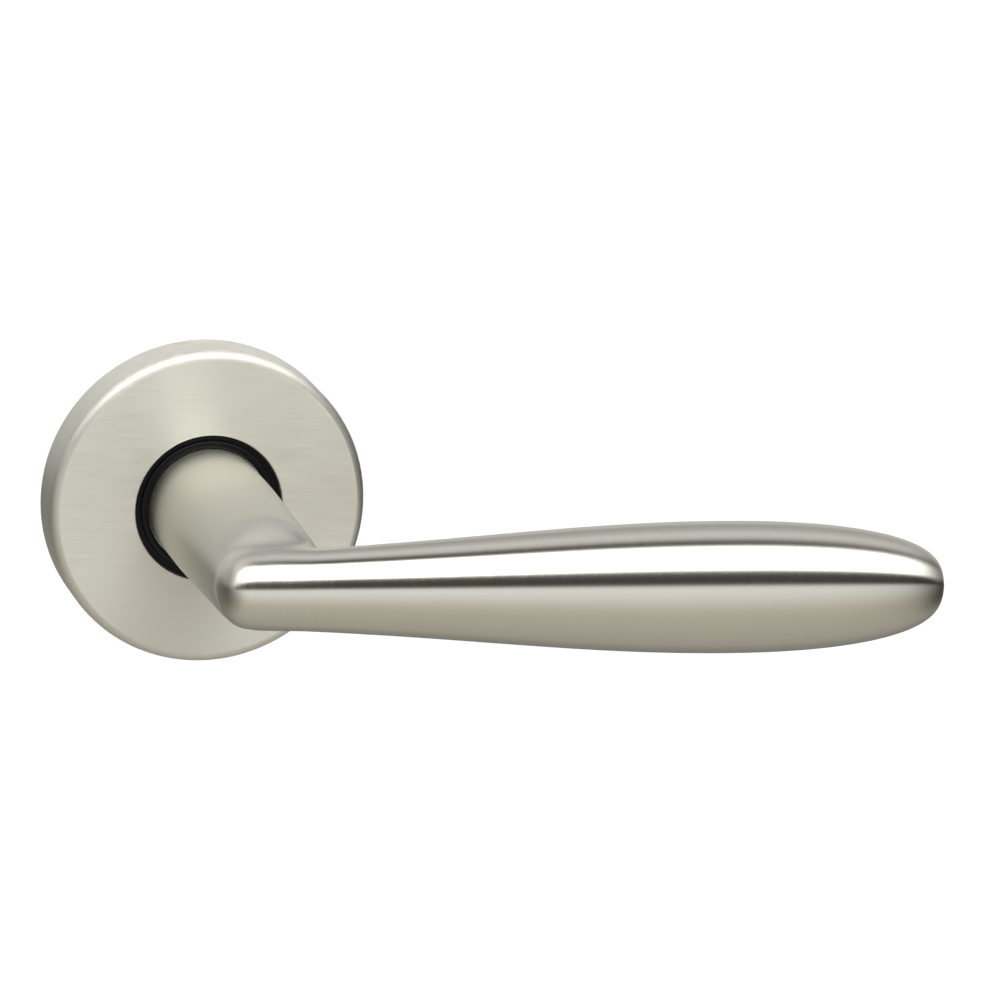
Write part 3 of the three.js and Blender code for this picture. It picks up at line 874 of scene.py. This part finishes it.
# A screw's outside: the given profile, with a helical thread cut into it between two places.
def threadedPiece(name, profile, thread, segments=40):
    rows = []
    for (r0, y0), (r1, y1) in zip(profile, profile[1:]):
        inThread = r0 == r1 == thread["radius"]
        steps = max(1, round(abs(y1 - y0) / thread["pitch"] * threads["stepsPerTurn"])) if inThread else 1
        rows += [(r0 + (r1 - r0) * i / steps, y0 + (y1 - y0) * i / steps) for i in range(steps)]
    rows.append(profile[-1])

    def cut(radius, y, turn):
        if abs(radius - thread["radius"]) > threads["onCrest"]:
            return radius, y
        fromStart, toEnd = (y - thread["from"]) / thread["pitch"], (thread["to"] - y) / thread["pitch"]
        into = min(1, max(0, fromStart), max(0, toEnd))
        phase = (y / thread["pitch"] - turn / fullTurn) % 1
        ridge = min(1, max(0, abs(phase - 0.5) * 2 * (1 + threads["flats"]) - threads["flats"] / 2))
        return radius - thread["depth"] * ridge * into, y

    return revolve(name, rows, segments, shape=cut)


def crossRecess(x, z, y, span, depth):
    bar = span / 4
    cross = block("recess", (span, depth * 2, bar), (x, y, z))
    return combine(cross, block("recess", (bar, depth * 2, span), (x, y, z)), "UNION")


# Finishes of the parts behind the cover.
greyNylon = mouldedPlastic("grey glass-filled nylon", (0.055, 0.057, 0.06), 0.5, 0.0009, 0.12)
bushNylon = mouldedPlastic("black acetal", (0.012, 0.012, 0.013), 0.35, 0.0012, 0.06)


# Plated or oiled steel: fine drawn lines, cloudy patches, and bare metal along worn edges.
def hiddenSteel(name, look):
    material, tree, shader = newMaterial(name)
    grain = addNode(tree, "ShaderNodeGroup", {}, node_tree=brushGrain)
    tree.links.new(objectVector(tree, look["turn"]), grain.inputs["Vector"])
    for key in ("Line Length", "Line Pitch", "Patch Size"):
        grain.inputs[key].default_value = look[key]
    cloud = addNode(
        tree,
        "ShaderNodeMix",
        {"Factor": grain.outputs["Patches"], 6: look["dark"], 7: look["light"]},
        data_type="RGBA",
    )
    corners = addNode(tree, "ShaderNodeNewGeometry").outputs["Pointiness"]
    ranged = {"Value": corners, 1: look["wearFrom"], 2: look["wearTo"], 3: 0.0, 4: look["wear"]}
    edge = addNode(tree, "ShaderNodeMapRange", ranged)
    worn = addNode(
        tree,
        "ShaderNodeMix",
        {"Factor": edge.outputs[0], 6: cloud.outputs[2], 7: look["bare"]},
        data_type="RGBA",
    )
    tree.links.new(worn.outputs[2], shader.inputs["Base Color"])
    shader.inputs["Metallic"].default_value = 1.0
    tree.links.new(linedRoughness(tree, grain, look), shader.inputs["Roughness"])
    tree.links.new(linedBump(tree, grain, look), shader.inputs["Normal"])
    return material


zincLook = {
    "turn": (0, 0, math.pi / 2),
    "Line Length": 0.01,
    "Line Pitch": 0.00025,
    "Patch Size": 0.0035,
    "dark": (0.48, 0.49, 0.50, 1),
    "light": (0.66, 0.67, 0.67, 1),
    "bare": (0.75, 0.74, 0.72, 1),
    "wear": 0.6,
    "wearFrom": 0.53,  # pointiness of an edge, and where it is fully worn
    "wearTo": 0.6,
    "roughness": 0.34,
    "spread": 0.06,
    "bump": 0.15,
    "lineDepth": 0.00003,
}
springLook = dict(
    zincLook,
    dark=(0.16, 0.15, 0.14, 1),
    light=(0.30, 0.29, 0.27, 1),
    bare=(0.55, 0.54, 0.52, 1),
    roughness=0.28,
    bump=0.08,
)
blackLook = dict(
    zincLook,
    dark=(0.02, 0.02, 0.021, 1),
    light=(0.045, 0.045, 0.047, 1),
    bare=(0.3, 0.29, 0.28, 1),
    roughness=0.42,
)
zincSteel = hiddenSteel("zinc-plated steel", zincLook)
springSteel = hiddenSteel("oiled spring steel", springLook)
blackSteel = hiddenSteel("blackened steel", blackLook)

# Carrier plate and its bush.
carrier = {
    "plate": 2.4,
    "rimWall": 1.8,
    "rimDepth": 6.2,
    "rimFront": (0.4, 0.25),  # radii of the rim's outer and inner edge
    "rimRoot": 0.5,
    "backEdge": 0.25,
    "boreEdges": (0.15, 0.2),
    "boltPitch": 38,
    "boltHole": 2.15,
    "lugRadius": 4,
    "lugEdge": 0.5,
    "screwHole": 1.3,
    "screwDepth": -0.6,
    "sideHole": 2.1,
    "sideSink": 3.6,  # the screw heads' seats: their radius, how deep they run straight, and where they end
    "sideStraight": 1.0,
    "sideCone": 2.3,
    "tangPlay": 0.25,
    "bore": 9.9,
    "relief": 11,
    "reliefDepth": 0.3,
    "reliefEdge": 0.1,
    "reliefRim": 0.15,
    "clipY": -4.4,
    "clipGroove": 0.55,
    "grooveDepth": 0.45,
    "grooveEdge": 0.1,
    "grooveRoot": 0.15,
    "pockets": [22.5, 67.5, 112.5, 157.5, 202.5, 247.5, 292.5, 337.5],
    "pocketHalf": 8.5,
    "pocketFrom": 13,
    "pocketTo": 22,
    "pocketDepth": 1.1,
}
carrier["radius"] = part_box("rose_base")[1].x / mm
carrier["lugEnd"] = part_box("rose_base")[1].y / mm
seatGap = 0.1  # between pieces that touch
cassetteBack = -carrier["plate"] - seatGap
screw = {
    "angles": [45, 135, 225, 315],
    "ring": 18.4,
    "radius": 1.2,
    "head": 2.3,
    "headDepth": 1.3,
    "end": -0.8,
    "pitch": 0.7,
    "threadDepth": 0.28,
    "threadFrom": 0.4,  # behind the head
}
spring = {
    "coil": 11.1,
    "wire": 1,
    "rise": 1.235,  # of one turn
    "startAngle": 200,
    "tang": 1.2,
    "back": -3,
    "front": -5.9,
    "lead": 5,  # degrees from a tang to where the coil starts
    "bend": (0.5, 0.15),  # heights over the bend's foot, at the tang and a quarter of the lead on
    "steps": 260,
    "slack": 0.02,
}
spring["turns"] = (spring["back"] - spring["front"]) / spring["rise"]
spring["endAngle"] = spring["startAngle"] + spring["turns"] * 360


def makeCarrier(material):
    radius, groove = carrier["radius"], carrier["clipGroove"]
    piece = revolve(
        "carrier_plate",
        roundProfile(
            [
                (carrier["bore"], -carrier["reliefDepth"], carrier["boreEdges"][0]),
                (carrier["relief"], -carrier["reliefDepth"], carrier["reliefEdge"]),
                (carrier["relief"], 0, carrier["reliefRim"]),
                (radius, 0, carrier["backEdge"]),
                (radius, carrier["clipY"] + groove, carrier["grooveEdge"]),
                (radius - carrier["grooveDepth"], carrier["clipY"] + groove, carrier["grooveRoot"]),
                (radius - carrier["grooveDepth"], carrier["clipY"] - groove, carrier["grooveRoot"]),
                (radius, carrier["clipY"] - groove, carrier["grooveEdge"]),
                (radius, -carrier["rimDepth"], carrier["rimFront"][0]),
                (radius - carrier["rimWall"], -carrier["rimDepth"], carrier["rimFront"][1]),
                (radius - carrier["rimWall"], -carrier["plate"], carrier["rimRoot"]),
                (carrier["bore"], -carrier["plate"], carrier["boreEdges"][1]),
            ],
            4,
            0.03,
        ),
        160,
    )
    front = -carrier["plate"] - overrun
    lugRadius, lugEnd = carrier["lugRadius"], carrier["lugEnd"]
    lug = [(0, -overrun, 0), (lugRadius, -overrun, 0), (lugRadius, lugEnd, carrier["lugEdge"])]
    lug = roundProfile([*lug, (0, lugEnd, 0)], 4, 0.02)
    sink = [
        (0, front),
        (carrier["sideSink"], front),
        (carrier["sideSink"], front + carrier["sideStraight"]),
        (carrier["sideHole"], front + carrier["sideCone"]),
        (carrier["sideHole"], overrun),
        (0, overrun),
    ]
    for side in (-1, 1):
        z = side * carrier["boltPitch"] / 2
        combine(piece, revolve("lug", lug, 64, (0, z)), "UNION")
        combine(piece, rod("hole", carrier["boltHole"], front, lugEnd + overrun, 0, z), "DIFFERENCE")
        x = side * carrier["boltPitch"] / 2
        combine(piece, revolve("hole", sink, 48, (x, 0)), "DIFFERENCE")
    for angle in screw["angles"]:
        x, z = polar(screw["ring"], angle)
        hole = rod("hole", carrier["screwHole"], front, carrier["screwDepth"], x, z, 32)
        combine(piece, hole, "DIFFERENCE")
    x, z = polar(spring["coil"], spring["startAngle"])
    hole = rod("hole", spring["wire"] / 2 + carrier["tangPlay"], front, overrun, x, z, 32)
    combine(piece, hole, "DIFFERENCE")
    for angle in carrier["pockets"]:
        half = carrier["pocketHalf"]
        outline = ringSector(carrier["pocketFrom"], carrier["pocketTo"], angle - half, angle + half, 8)
        combine(piece, plate("pocket", outline, -carrier["pocketDepth"], overrun), "DIFFERENCE")
    smoothBelow(cleanMesh(piece), 30)
    return finishPiece(piece, "base", "grey_nylon", ["rose_base"], material)


bush = {
    "bore": 8.15,
    "radius": 9.8,
    "flange": 10.2,
    "flangeThick": 0.5,
    "edge": 0.3,
    "root": 0.1,
    "flangeEdge": 0.15,
}


def makeBush(material):
    front = cassetteBack - bush["flangeThick"]
    profile = roundProfile(
        [
            (bush["bore"], 0, bush["edge"]),
            (bush["radius"], 0, bush["edge"]),
            (bush["radius"], cassetteBack, bush["root"]),
            (bush["flange"], cassetteBack, bush["root"]),
            (bush["flange"], front, bush["flangeEdge"]),
            (bush["bore"], front, bush["edge"]),
        ],
        4,
        0.02,
    )
    piece = smoothBelow(revolve("bearing_bush_moulding", profile, 128), 40)
    return finishPiece(piece, "base", "black_nylon", ["bearing_bush"], material)


clipRing = {"middle": 25.45, "gap": 28, "wire": 0.44, "steps": 180}


def makeClipRing(material):
    half = clipRing["gap"] / 2
    circle = arcPoints(clipRing["middle"], half, 360 - half, clipRing["steps"])
    path = [(x, carrier["clipY"], z) for x, z in circle]
    piece = wirePiece("clip_ring_wire", path, clipRing["wire"], 16, material)
    return finishPiece(piece, "base", "spring_steel", ["clip_ring"], material)


makeCarrier(greyNylon)
makeBush(bushNylon)
makeClipRing(springSteel)
print("carrier plate, bush and clip ring made")


# Spring cassette.
housing = {
    "inner": 13.4,
    "wall": 1,
    "wallFront": -6.3,
    "backEdge": 0.15,
    "frontEdge": 0.2,
    "ear": 3.4,
    "earNose": 0.9,  # the nose's radius, as a share of the ear's half width
    "earThick": 0.8,
    "earRoot": 0.3,  # how far the ear starts inside the wall, before the bore cuts it back
    "earBack": 0.05,
    "screwPlay": 0.15,
    "posts": (190.6, 110.4),  # where the two stops start, in degrees
    "postAngle": 14,
    "postFront": -7.4,
    "postRoot": 0.5,
    "postInset": 0.02,
}


def makeHousing(material):
    inner, outer, wallFront = housing["inner"], housing["inner"] + housing["wall"], housing["wallFront"]
    backEdge, frontEdge = housing["backEdge"], housing["frontEdge"]
    profile = roundProfile(
        [
            (inner, cassetteBack, backEdge),
            (outer, cassetteBack, backEdge),
            (outer, wallFront, frontEdge),
            (inner, wallFront, frontEdge),
        ],
        3,
        0.02,
    )
    piece = revolve("spring_housing_pressing", profile, 144)
    cutFront, cutBack = cassetteBack - 3, cassetteBack + overrun
    for angle in screw["angles"]:
        x, z = polar(screw["ring"], angle)
        ear = housing["ear"]
        side = polar(ear, angle + 90)
        root = polar(inner + housing["earRoot"], angle)
        outline = [(root[0] - side[0], root[1] - side[1])]
        outline += arcPoints(ear * housing["earNose"], angle - 90, angle + 90, 24, (x, z))
        outline += [(root[0] + side[0], root[1] + side[1])]
        flange = plate("ear", outline, cassetteBack - housing["earThick"], cassetteBack)
        bore = rod("bore", inner + housing["earBack"], cutFront, cutBack, segments=144)
        combine(flange, bore, "DIFFERENCE")
        hole = rod("hole", screw["radius"] + housing["screwPlay"], cutFront, cutBack, x, z, 32)
        combine(flange, hole, "DIFFERENCE")
        combine(piece, flange, "UNION")
    for start in housing["posts"]:
        outline = ringSector(inner, outer - housing["postInset"], start, start + housing["postAngle"], 10)
        post = plate("post", outline, housing["postFront"], wallFront + housing["postRoot"])
        combine(piece, post, "UNION")
    smoothBelow(cleanMesh(piece), 35)
    return finishPiece(piece, "base", "zinc_steel", ["spring_housing"], material)


driver = {
    "bore": 8.15,
    "radius": 12.9,
    "front": -7.5,
    "back": -6.5,
    "boreEdge": 0.1,
    "edge": 0.2,
    "flat": 7.15,
    "keyRoot": 0.6,
    "keyInset": 0.001,
    "keySpread": 2,  # degrees past the flat's corners
    "dogAngle": 180,
    "dogHalf": 10,
    "dogRoot": 0.6,
    "reach": 14.3,
}


def makeDriver(material):
    front, back = driver["front"], driver["back"]
    bore, radius, edge = driver["bore"], driver["radius"], driver["edge"]
    corners = [(bore, front, driver["boreEdge"]), (radius, front, edge), (radius, back, edge)]
    profile = roundProfile([*corners, (bore, back, driver["boreEdge"])], 3, 0.02)
    piece = revolve("spring_driver_pressing", profile, 144)
    dogFrom, dogTo = driver["dogAngle"] - driver["dogHalf"], driver["dogAngle"] + driver["dogHalf"]
    dog = ringSector(radius - driver["dogRoot"], driver["reach"], dogFrom, dogTo, 8)
    combine(piece, plate("dog", dog, front, back), "UNION")
    for side in (-1, 1):
        corner = math.degrees(math.acos(driver["flat"] / bore)) + driver["keySpread"]
        outline = arcPoints(bore + driver["keyRoot"], -corner, corner, 12)
        outline = [(side * x, z) for x, z in outline]
        flatX = side * driver["flat"]
        outline += [(flatX, outline[-1][1]), (flatX, outline[0][1])]
        key = plate("key", outline, front + driver["keyInset"], back - driver["keyInset"])
        combine(piece, key, "UNION")
    x, z = polar(spring["coil"], spring["endAngle"])
    hole = spring["wire"] / 2 + carrier["tangPlay"]
    combine(piece, rod("hole", hole, front - overrun, back + overrun, x, z, 32), "DIFFERENCE")
    smoothBelow(cleanMesh(piece), 35)
    return finishPiece(piece, "lever", "zinc_steel", ["spring_driver"], material)


def makeReturnSpring(material):
    start, end, lead = spring["startAngle"], spring["endAngle"], spring["lead"]
    back, front, steps = spring["back"], spring["front"], spring["steps"]
    high, low = spring["bend"]
    path = []

    def put(degrees, y):
        x, z = polar(spring["coil"], degrees)
        path.append(Vector((x, y, z)))

    put(start, back + spring["tang"] + 2 * seatGap)
    put(start, back + high)
    put(start + lead / 4, back + low)
    for i in range(steps + 1):
        share = i / steps
        put(start + lead + (end - start - 2 * lead) * share, back + (front - back) * share)
    put(end - lead / 4, front - low)
    put(end, front - high)
    put(end, front - spring["tang"])
    piece = wirePiece("return_spring_wire", path, spring["wire"] / 2 - spring["slack"], 16, material)
    piece.data.materials.clear()
    piece.data.materials.append(material)
    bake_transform(piece)
    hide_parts("return_spring")


makeHousing(zincSteel)
makeDriver(zincSteel)
makeReturnSpring(springSteel)
print("spring cassette made")

# Washers and circlip on the spigot.
washers = {
    "bore": 8.15,
    "waveOuter": 10.2,
    "waveThick": 0.2,
    "waveEdge": 0.05,
    "wave": 0.07,  # height of the waves, and where their middle is
    "waveY": 0.275,
    "waves": 3,
    "backOuter": 10.6,
    "backY": 0.55,
    "backThick": 0.6,
    "edge": 0.12,
}


def makeWaveWasher(material):
    half = washers["waveThick"] / 2

    def lift(radius, y, turn):
        return radius, y + washers["wave"] * math.sin(turn * washers["waves"])

    inner, outer, edge = washers["bore"], washers["waveOuter"], washers["waveEdge"]
    y0, y1 = washers["waveY"] - half, washers["waveY"] + half
    corners = [(inner, y0, edge), (outer, y0, edge), (outer, y1, edge), (inner, y1, edge)]
    profile = roundProfile(corners, 2, 0.01)
    piece = smoothBelow(revolve("wave_washer_spring", profile, 144, shape=lift), 40)
    return finishPiece(piece, "lever", "spring_steel", ["wave_washer"], material)


def flatWasher(name, inner, outer, y0, y1, centre=(0, 0)):
    edge = washers["edge"]
    corners = [(inner, y0, edge), (outer, y0, edge), (outer, y1, edge), (inner, y1, edge)]
    profile = roundProfile(corners, 3, 0.02)
    return smoothBelow(revolve(name, profile, 96, centre), 40)


def makeBackWasher(material):
    end = washers["backY"] + washers["backThick"]
    piece = flatWasher("back_washer_disc", washers["bore"], washers["backOuter"], washers["backY"], end)
    return finishPiece(piece, "lever", "zinc_steel", ["back_washer"], material)


circlip = {
    "inner": 7.4,
    "outer": 9.7,
    "y0": 1.35,
    "y1": 2.35,
    "edge": 0.08,
    "gapHalf": 17,
    "slim": 0.35,  # how much narrower it is by the gap
    "ear": 1.5,
    "earSpread": 4,  # degrees past the gap's end
    "earInset": 0.02,
    "earBack": 0.06,
    "earHole": 0.55,
}


def makeCirclip(material):
    down, half = -90, circlip["gapHalf"]
    start, end = down + half, down - half + 360
    outer = []
    steps = 96
    for i in range(steps + 1):
        angle = start + (end - start) * i / steps
        slim = circlip["slim"] * (1 + math.cos(math.radians(angle - down))) / 2
        outer.append(polar(circlip["outer"] - slim, angle))
    outline = outer + arcPoints(circlip["inner"], end, start, steps)
    y0, y1, inner, edge = circlip["y0"], circlip["y1"], circlip["inner"], circlip["edge"]
    back, front, ear = y0 + circlip["earInset"], y1 - circlip["earInset"], circlip["ear"]
    earProfile = roundProfile([(0, back, 0), (ear, back, edge), (ear, front, edge), (0, front, 0)], 2, 0.01)
    piece = plate("circlip_spring", outline, y0, y1, edge)
    for side in (-1, 1):
        x, z = polar((inner + circlip["outer"]) / 2, down + side * (half + circlip["earSpread"]))
        disc = revolve("ear", earProfile, 48, (x, z))
        bore = rod("bore", inner + circlip["earBack"], y0 - overrun, y1 + overrun, segments=144)
        combine(disc, bore, "DIFFERENCE")
        combine(piece, disc, "UNION")
        hole = rod("hole", circlip["earHole"], y0 - overrun, y1 + overrun, x, z, 32)
        combine(piece, hole, "DIFFERENCE")
    smoothBelow(cleanMesh(piece), 35)
    return finishPiece(piece, "lever", "spring_steel", ["circlip"], material)


makeWaveWasher(springSteel)
makeBackWasher(zincSteel)
makeCirclip(springSteel)
print("washers and circlip made")

# Spindle and grub screw.
spindle = {"chamfer": 0.8, "edge": 0.35}


def makeSpindle(material):
    low, high = (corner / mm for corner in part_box("spindle"))
    side = high.x - low.x
    cut = spindle["chamfer"]
    rows = [(side - 2 * cut, low.y), (side, low.y + cut), (side, high.y - cut), (side - 2 * cut, high.y)]
    points = []
    for width, y in rows:
        half = width / 2
        points += [(-half, y, -half), (half, y, -half), (half, y, half), (-half, y, half)]
    faces = [(0, 1, 2, 3), (15, 14, 13, 12)]
    for row in range(3):
        for k in range(4):
            after = (k + 1) % 4
            faces.append((row * 4 + k, row * 4 + after, row * 4 + 4 + after, row * 4 + 4 + k))
    piece = facesOutward(meshObject("spindle_bar", [Vector(p) * mm for p in points], faces))
    softenEdges(piece, spindle["edge"], 3, 30)
    smoothBelow(piece, 35)
    return finishPiece(piece, "lever", "zinc_steel", ["spindle"], material)


grub = {
    "radius": 2.9,
    "length": 5,
    "point": 1,  # how much narrower its point is, and how long that is
    "pointLength": 0.8,
    "edge": 0.4,
    "tip": 4.05,  # from the spindle's axis to the point
    "socket": 3,
    "socketDepth": 2.4,
    "pitch": 0.8,
    "threadDepth": 0.4,
    "step": 0.001,  # marks the thread's two ends in the profile
}


def makeGrubScrew(material):
    radius, length, edge, step = grub["radius"], grub["length"], grub["edge"], grub["step"]
    begin, finish = grub["pointLength"], length - edge
    thread = threadOf(grub, begin, finish)
    profile = [(0, 0), (radius - grub["point"], 0), (radius - step, begin), (radius, begin)]
    profile += [(radius, finish), (radius - step, finish), (radius - edge, length), (0, length)]
    piece = threadedPiece("grub_screw_body", profile, thread)
    corner, bottom = grub["socket"] / math.sqrt(3), length - grub["socketDepth"]
    top = length + overrun
    key = revolve("key", [(0, bottom), (corner, bottom), (corner, top), (0, top)], 6)
    combine(piece, key, "DIFFERENCE")
    piece.data.transform(downAt(lever["grubAt"], grub["tip"]))
    smoothBelow(cleanMesh(piece), 35)
    return finishPiece(piece, "lever", "black_steel", ["grub_screw"], material)


makeSpindle(zincSteel)
makeGrubScrew(blackSteel)
print("spindle and grub screw made")

# Through bolts, their washers and the cassette's screws.
bolt = {
    "radius": 1.95,
    "head": 3.6,
    "headDepth": 2.2,
    "washer": 4.2,
    "washerThick": 0.6,
    "washerPlay": 0.2,
    "pitch": 0.7,
    "threadDepth": 0.38,
    "threadFrom": 2,
}
bolt["end"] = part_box("through_bolt_upper")[1].y / mm
# Shares of the head's radius and depth, and a fillet, from its middle out to its foot.
panShape = [(0, 0, 0), (0.62, 0, 0.4), (0.9, 0.25, 0.5), (1, 0.6, 0.3), (1, 1, 0.08)]
screwEnd = 0.4
recess = {"span": 1.1, "depth": 0.6}  # shares of the head's radius and depth


def panHead(seat, size):
    top, head, depth = seat - size["headDepth"], size["head"], size["headDepth"]
    corners = [(head * out, top + depth * down, fillet) for out, down, fillet in panShape]
    return [*corners, (size["radius"], seat, 0)]


def panScrew(name, seat, size, threadFrom):
    radius, end = size["radius"], size["end"]
    profile = [(p[0], p[1]) for p in roundProfile(panHead(seat, size), 4, 0.01)]
    to = end - screwEnd
    profile += [(radius, threadFrom), (radius, to), (radius - screwEnd, end), (0, end)]
    thread = threadOf(size, threadFrom, to)
    piece = threadedPiece(name, profile, thread)
    span, depth = size["head"] * recess["span"], size["headDepth"] * recess["depth"]
    return combine(piece, crossRecess(0, 0, seat - size["headDepth"], span, depth), "DIFFERENCE")


def makeBolts(material):
    washerFront = cassetteBack - bolt["washerThick"]
    for place, side in (("upper", 1), ("lower", -1)):
        z = side * carrier["boltPitch"] / 2
        bore = bolt["radius"] + bolt["washerPlay"]
        washer = flatWasher(f"washer_{place}", bore, bolt["washer"], washerFront, cassetteBack, (0, z))
        finishPiece(washer, "base", "zinc_steel", [f"bolt_washer_{place}"], material)
        piece = panScrew(f"bolt_{place}", washerFront - seatGap, bolt, bolt["threadFrom"])
        piece.data.transform(Matrix.Translation((0, 0, z * mm)))
        smoothBelow(cleanMesh(piece), 35)
        finishPiece(piece, "base", "zinc_steel", [f"through_bolt_{place}"], material)


def makeHousingScrews(material):
    seat = cassetteBack - seatGap - housing["earThick"]
    one = panScrew("one_screw", seat, screw, seat + screw["threadFrom"])
    places = [polar(screw["ring"], angle) for angle in screw["angles"]]
    mesh = bpy.data.meshes.new("housing_screws")
    mesh.from_pydata([(x * mm, 0, z * mm) for x, z in places], [], [])
    piece = newObject("housing_screws", mesh)
    runTree(piece, copiesTree, {"Fastener": one, "Turn Spread": math.pi / 2, "Seed": 4, "Finish": material})
    bpy.data.objects.remove(one)
    smoothBelow(cleanMesh(piece), 35)
    return finishPiece(piece, "base", "zinc_steel", [f"housing_screw_{i}" for i in range(1, 5)], material)


makeBolts(zincSteel)
makeHousingScrews(zincSteel)
print("fixings made")

# Camera.
view = {
    "yaw": 16.5,
    "pitch": 14.7,
    "roll": 4.1,
    "distance": 1.032,
    "lens": 216,
    "sensor": 36,
    "nearest": 0.01,
    "aim": (0.050, -0.0141, 0.0027),
}


def makeCamera():
    yaw, pitch, roll = (math.radians(view[key]) for key in ("yaw", "pitch", "roll"))
    towards = Vector((math.sin(yaw) * math.cos(pitch), math.cos(yaw) * math.cos(pitch), -math.sin(pitch)))
    right = Vector((math.cos(yaw), -math.sin(yaw), 0))
    up = right.cross(towards)
    tilted = right * math.cos(roll) + up * math.sin(roll)
    upward = tilted.cross(towards)
    data = bpy.data.cameras.new("camera")
    data.lens = view["lens"]
    data.sensor_width = view["sensor"]
    data.clip_start = view["nearest"]
    camera = newObject("camera", data)
    turned = Matrix((tilted, upward, -towards)).transposed().to_4x4()
    camera.matrix_world = Matrix.Translation(Vector(view["aim"]) - towards * view["distance"]) @ turned
    bpy.context.scene.camera = camera


makeCamera()

# Studio.
# Each level is an angle, a brightness and a warmth. At 0 degrees the light comes level from the front,
# at 90 from overhead and at -90 from straight below.
studio = {
    "levels": [
        (-180, 0.52, 0.0),
        (-166, 0.16, 0.2),
        (-148, 0.22, 0.4),
        (-118, 0.31, 0.7),
        (-100, 0.42, 0.9),
        (-76, 0.47, 0.9),
        (-58, 0.51, 0.9),
        (-42, 0.55, 0.9),
        (-28, 0.62, 0.8),
        (-15, 0.76, 0.4),
        (-7, 0.84, 0.1),
        (0, 0.90, 0.0),
        (7, 0.94, 0.0),
        (10, 0.80, 0.0),
        (12.5, 0.20, 0.5),
        (14.5, 0.045, 0.8),
        (32, 0.045, 0.8),
        (35.2, 0.1, 0.3),
        (37.2, 3.3, 0.0),
        (78, 3.1, 0.0),
        (83, 0.3, 0.0),
        (86, 0.03, 0.1),
        (92, 0.06, 0.1),
        (102, 0.62, 0.0),
        (114, 0.75, 0.0),
        (127, 0.56, 0.0),
        (144, 0.40, 0.0),
        (165, 0.62, 0.0),
        (180, 0.52, 0.0),
    ],
    "top": 4.5,
    "warmth": (0.05, 0.17),  # how much less green and blue there is at full warmth
    "background": (0.96, 0.96, 0.96, 1),
    "leftFade": (0.5, 0.95, 0.5),
    "rightFade": (0.62, 0.94, 0.12),
    "floorDrop": 0.6,
    "floorSize": 40,
    "floorColor": (0.9, 0.9, 0.895, 1),
    "floorRoughness": 0.9,
}


def makeWorld():
    world = bpy.data.worlds.new("studio")
    bpy.context.scene.world = world
    world.use_nodes = True
    tree = world.node_tree
    tree.nodes.clear()
    way = splitVector(tree, addNode(tree, "ShaderNodeTexCoord").outputs["Generated"])
    front = maths(tree, "MULTIPLY", way["Y"], -1.0)
    angle = maths(tree, "ARCTAN2", way["Z"], front)
    share = maths(tree, "MULTIPLY_ADD", angle, 1 / fullTurn, 0.5)
    ramp = addNode(tree, "ShaderNodeValToRGB", {"Fac": share})
    stops = ramp.color_ramp.elements
    lessGreen, lessBlue = studio["warmth"]
    for i, (degrees, level, warmth) in enumerate(studio["levels"]):
        stop = stops[i] if i < 2 else stops.new((degrees + 180) / 360)
        stop.position = (degrees + 180) / 360
        part = level / studio["top"]
        stop.color = (part, part * (1 - lessGreen * warmth), part * (1 - lessBlue * warmth), 1)
    fades = []
    for key, sign in (("leftFade", -1.0), ("rightFade", 1.0)):
        start, end, least = studio[key]
        sideways = maths(tree, "MULTIPLY", way["X"], sign)
        ranged = {"Value": sideways, 1: start, 2: end, 3: 1.0, 4: least}
        fades.append(addNode(tree, "ShaderNodeMapRange", ranged, interpolation_type="SMOOTHSTEP").outputs[0])
    fade = maths(tree, "MULTIPLY", *fades)
    lit = addNode(
        tree,
        "ShaderNodeBackground",
        {"Color": ramp.outputs[0], "Strength": maths(tree, "MULTIPLY", fade, studio["top"])},
    )
    plain = addNode(tree, "ShaderNodeBackground", {"Color": studio["background"], "Strength": 1.0})
    seen = addNode(tree, "ShaderNodeLightPath").outputs["Is Camera Ray"]
    mixed = addNode(tree, "ShaderNodeMixShader", {0: seen, 1: lit.outputs[0], 2: plain.outputs[0]})
    out = tree.nodes.new("ShaderNodeOutputWorld")
    tree.links.new(mixed.outputs[0], out.inputs["Surface"])


def makeFloor():
    half = studio["floorSize"] / 2
    drop = -studio["floorDrop"]
    corners = [(-half, -half, drop), (half, -half, drop), (half, half, drop), (-half, half, drop)]
    floor = meshObject("floor", corners, [(0, 1, 2, 3)])
    material, _, shader = newMaterial("pale floor")
    shader.inputs["Base Color"].default_value = studio["floorColor"]
    shader.inputs["Roughness"].default_value = studio["floorRoughness"]
    floor.data.materials.append(material)
    floor.visible_glossy = False


makeWorld()
makeFloor()
bpy.context.scene.view_settings.view_transform = "Standard"
print("studio and camera made")
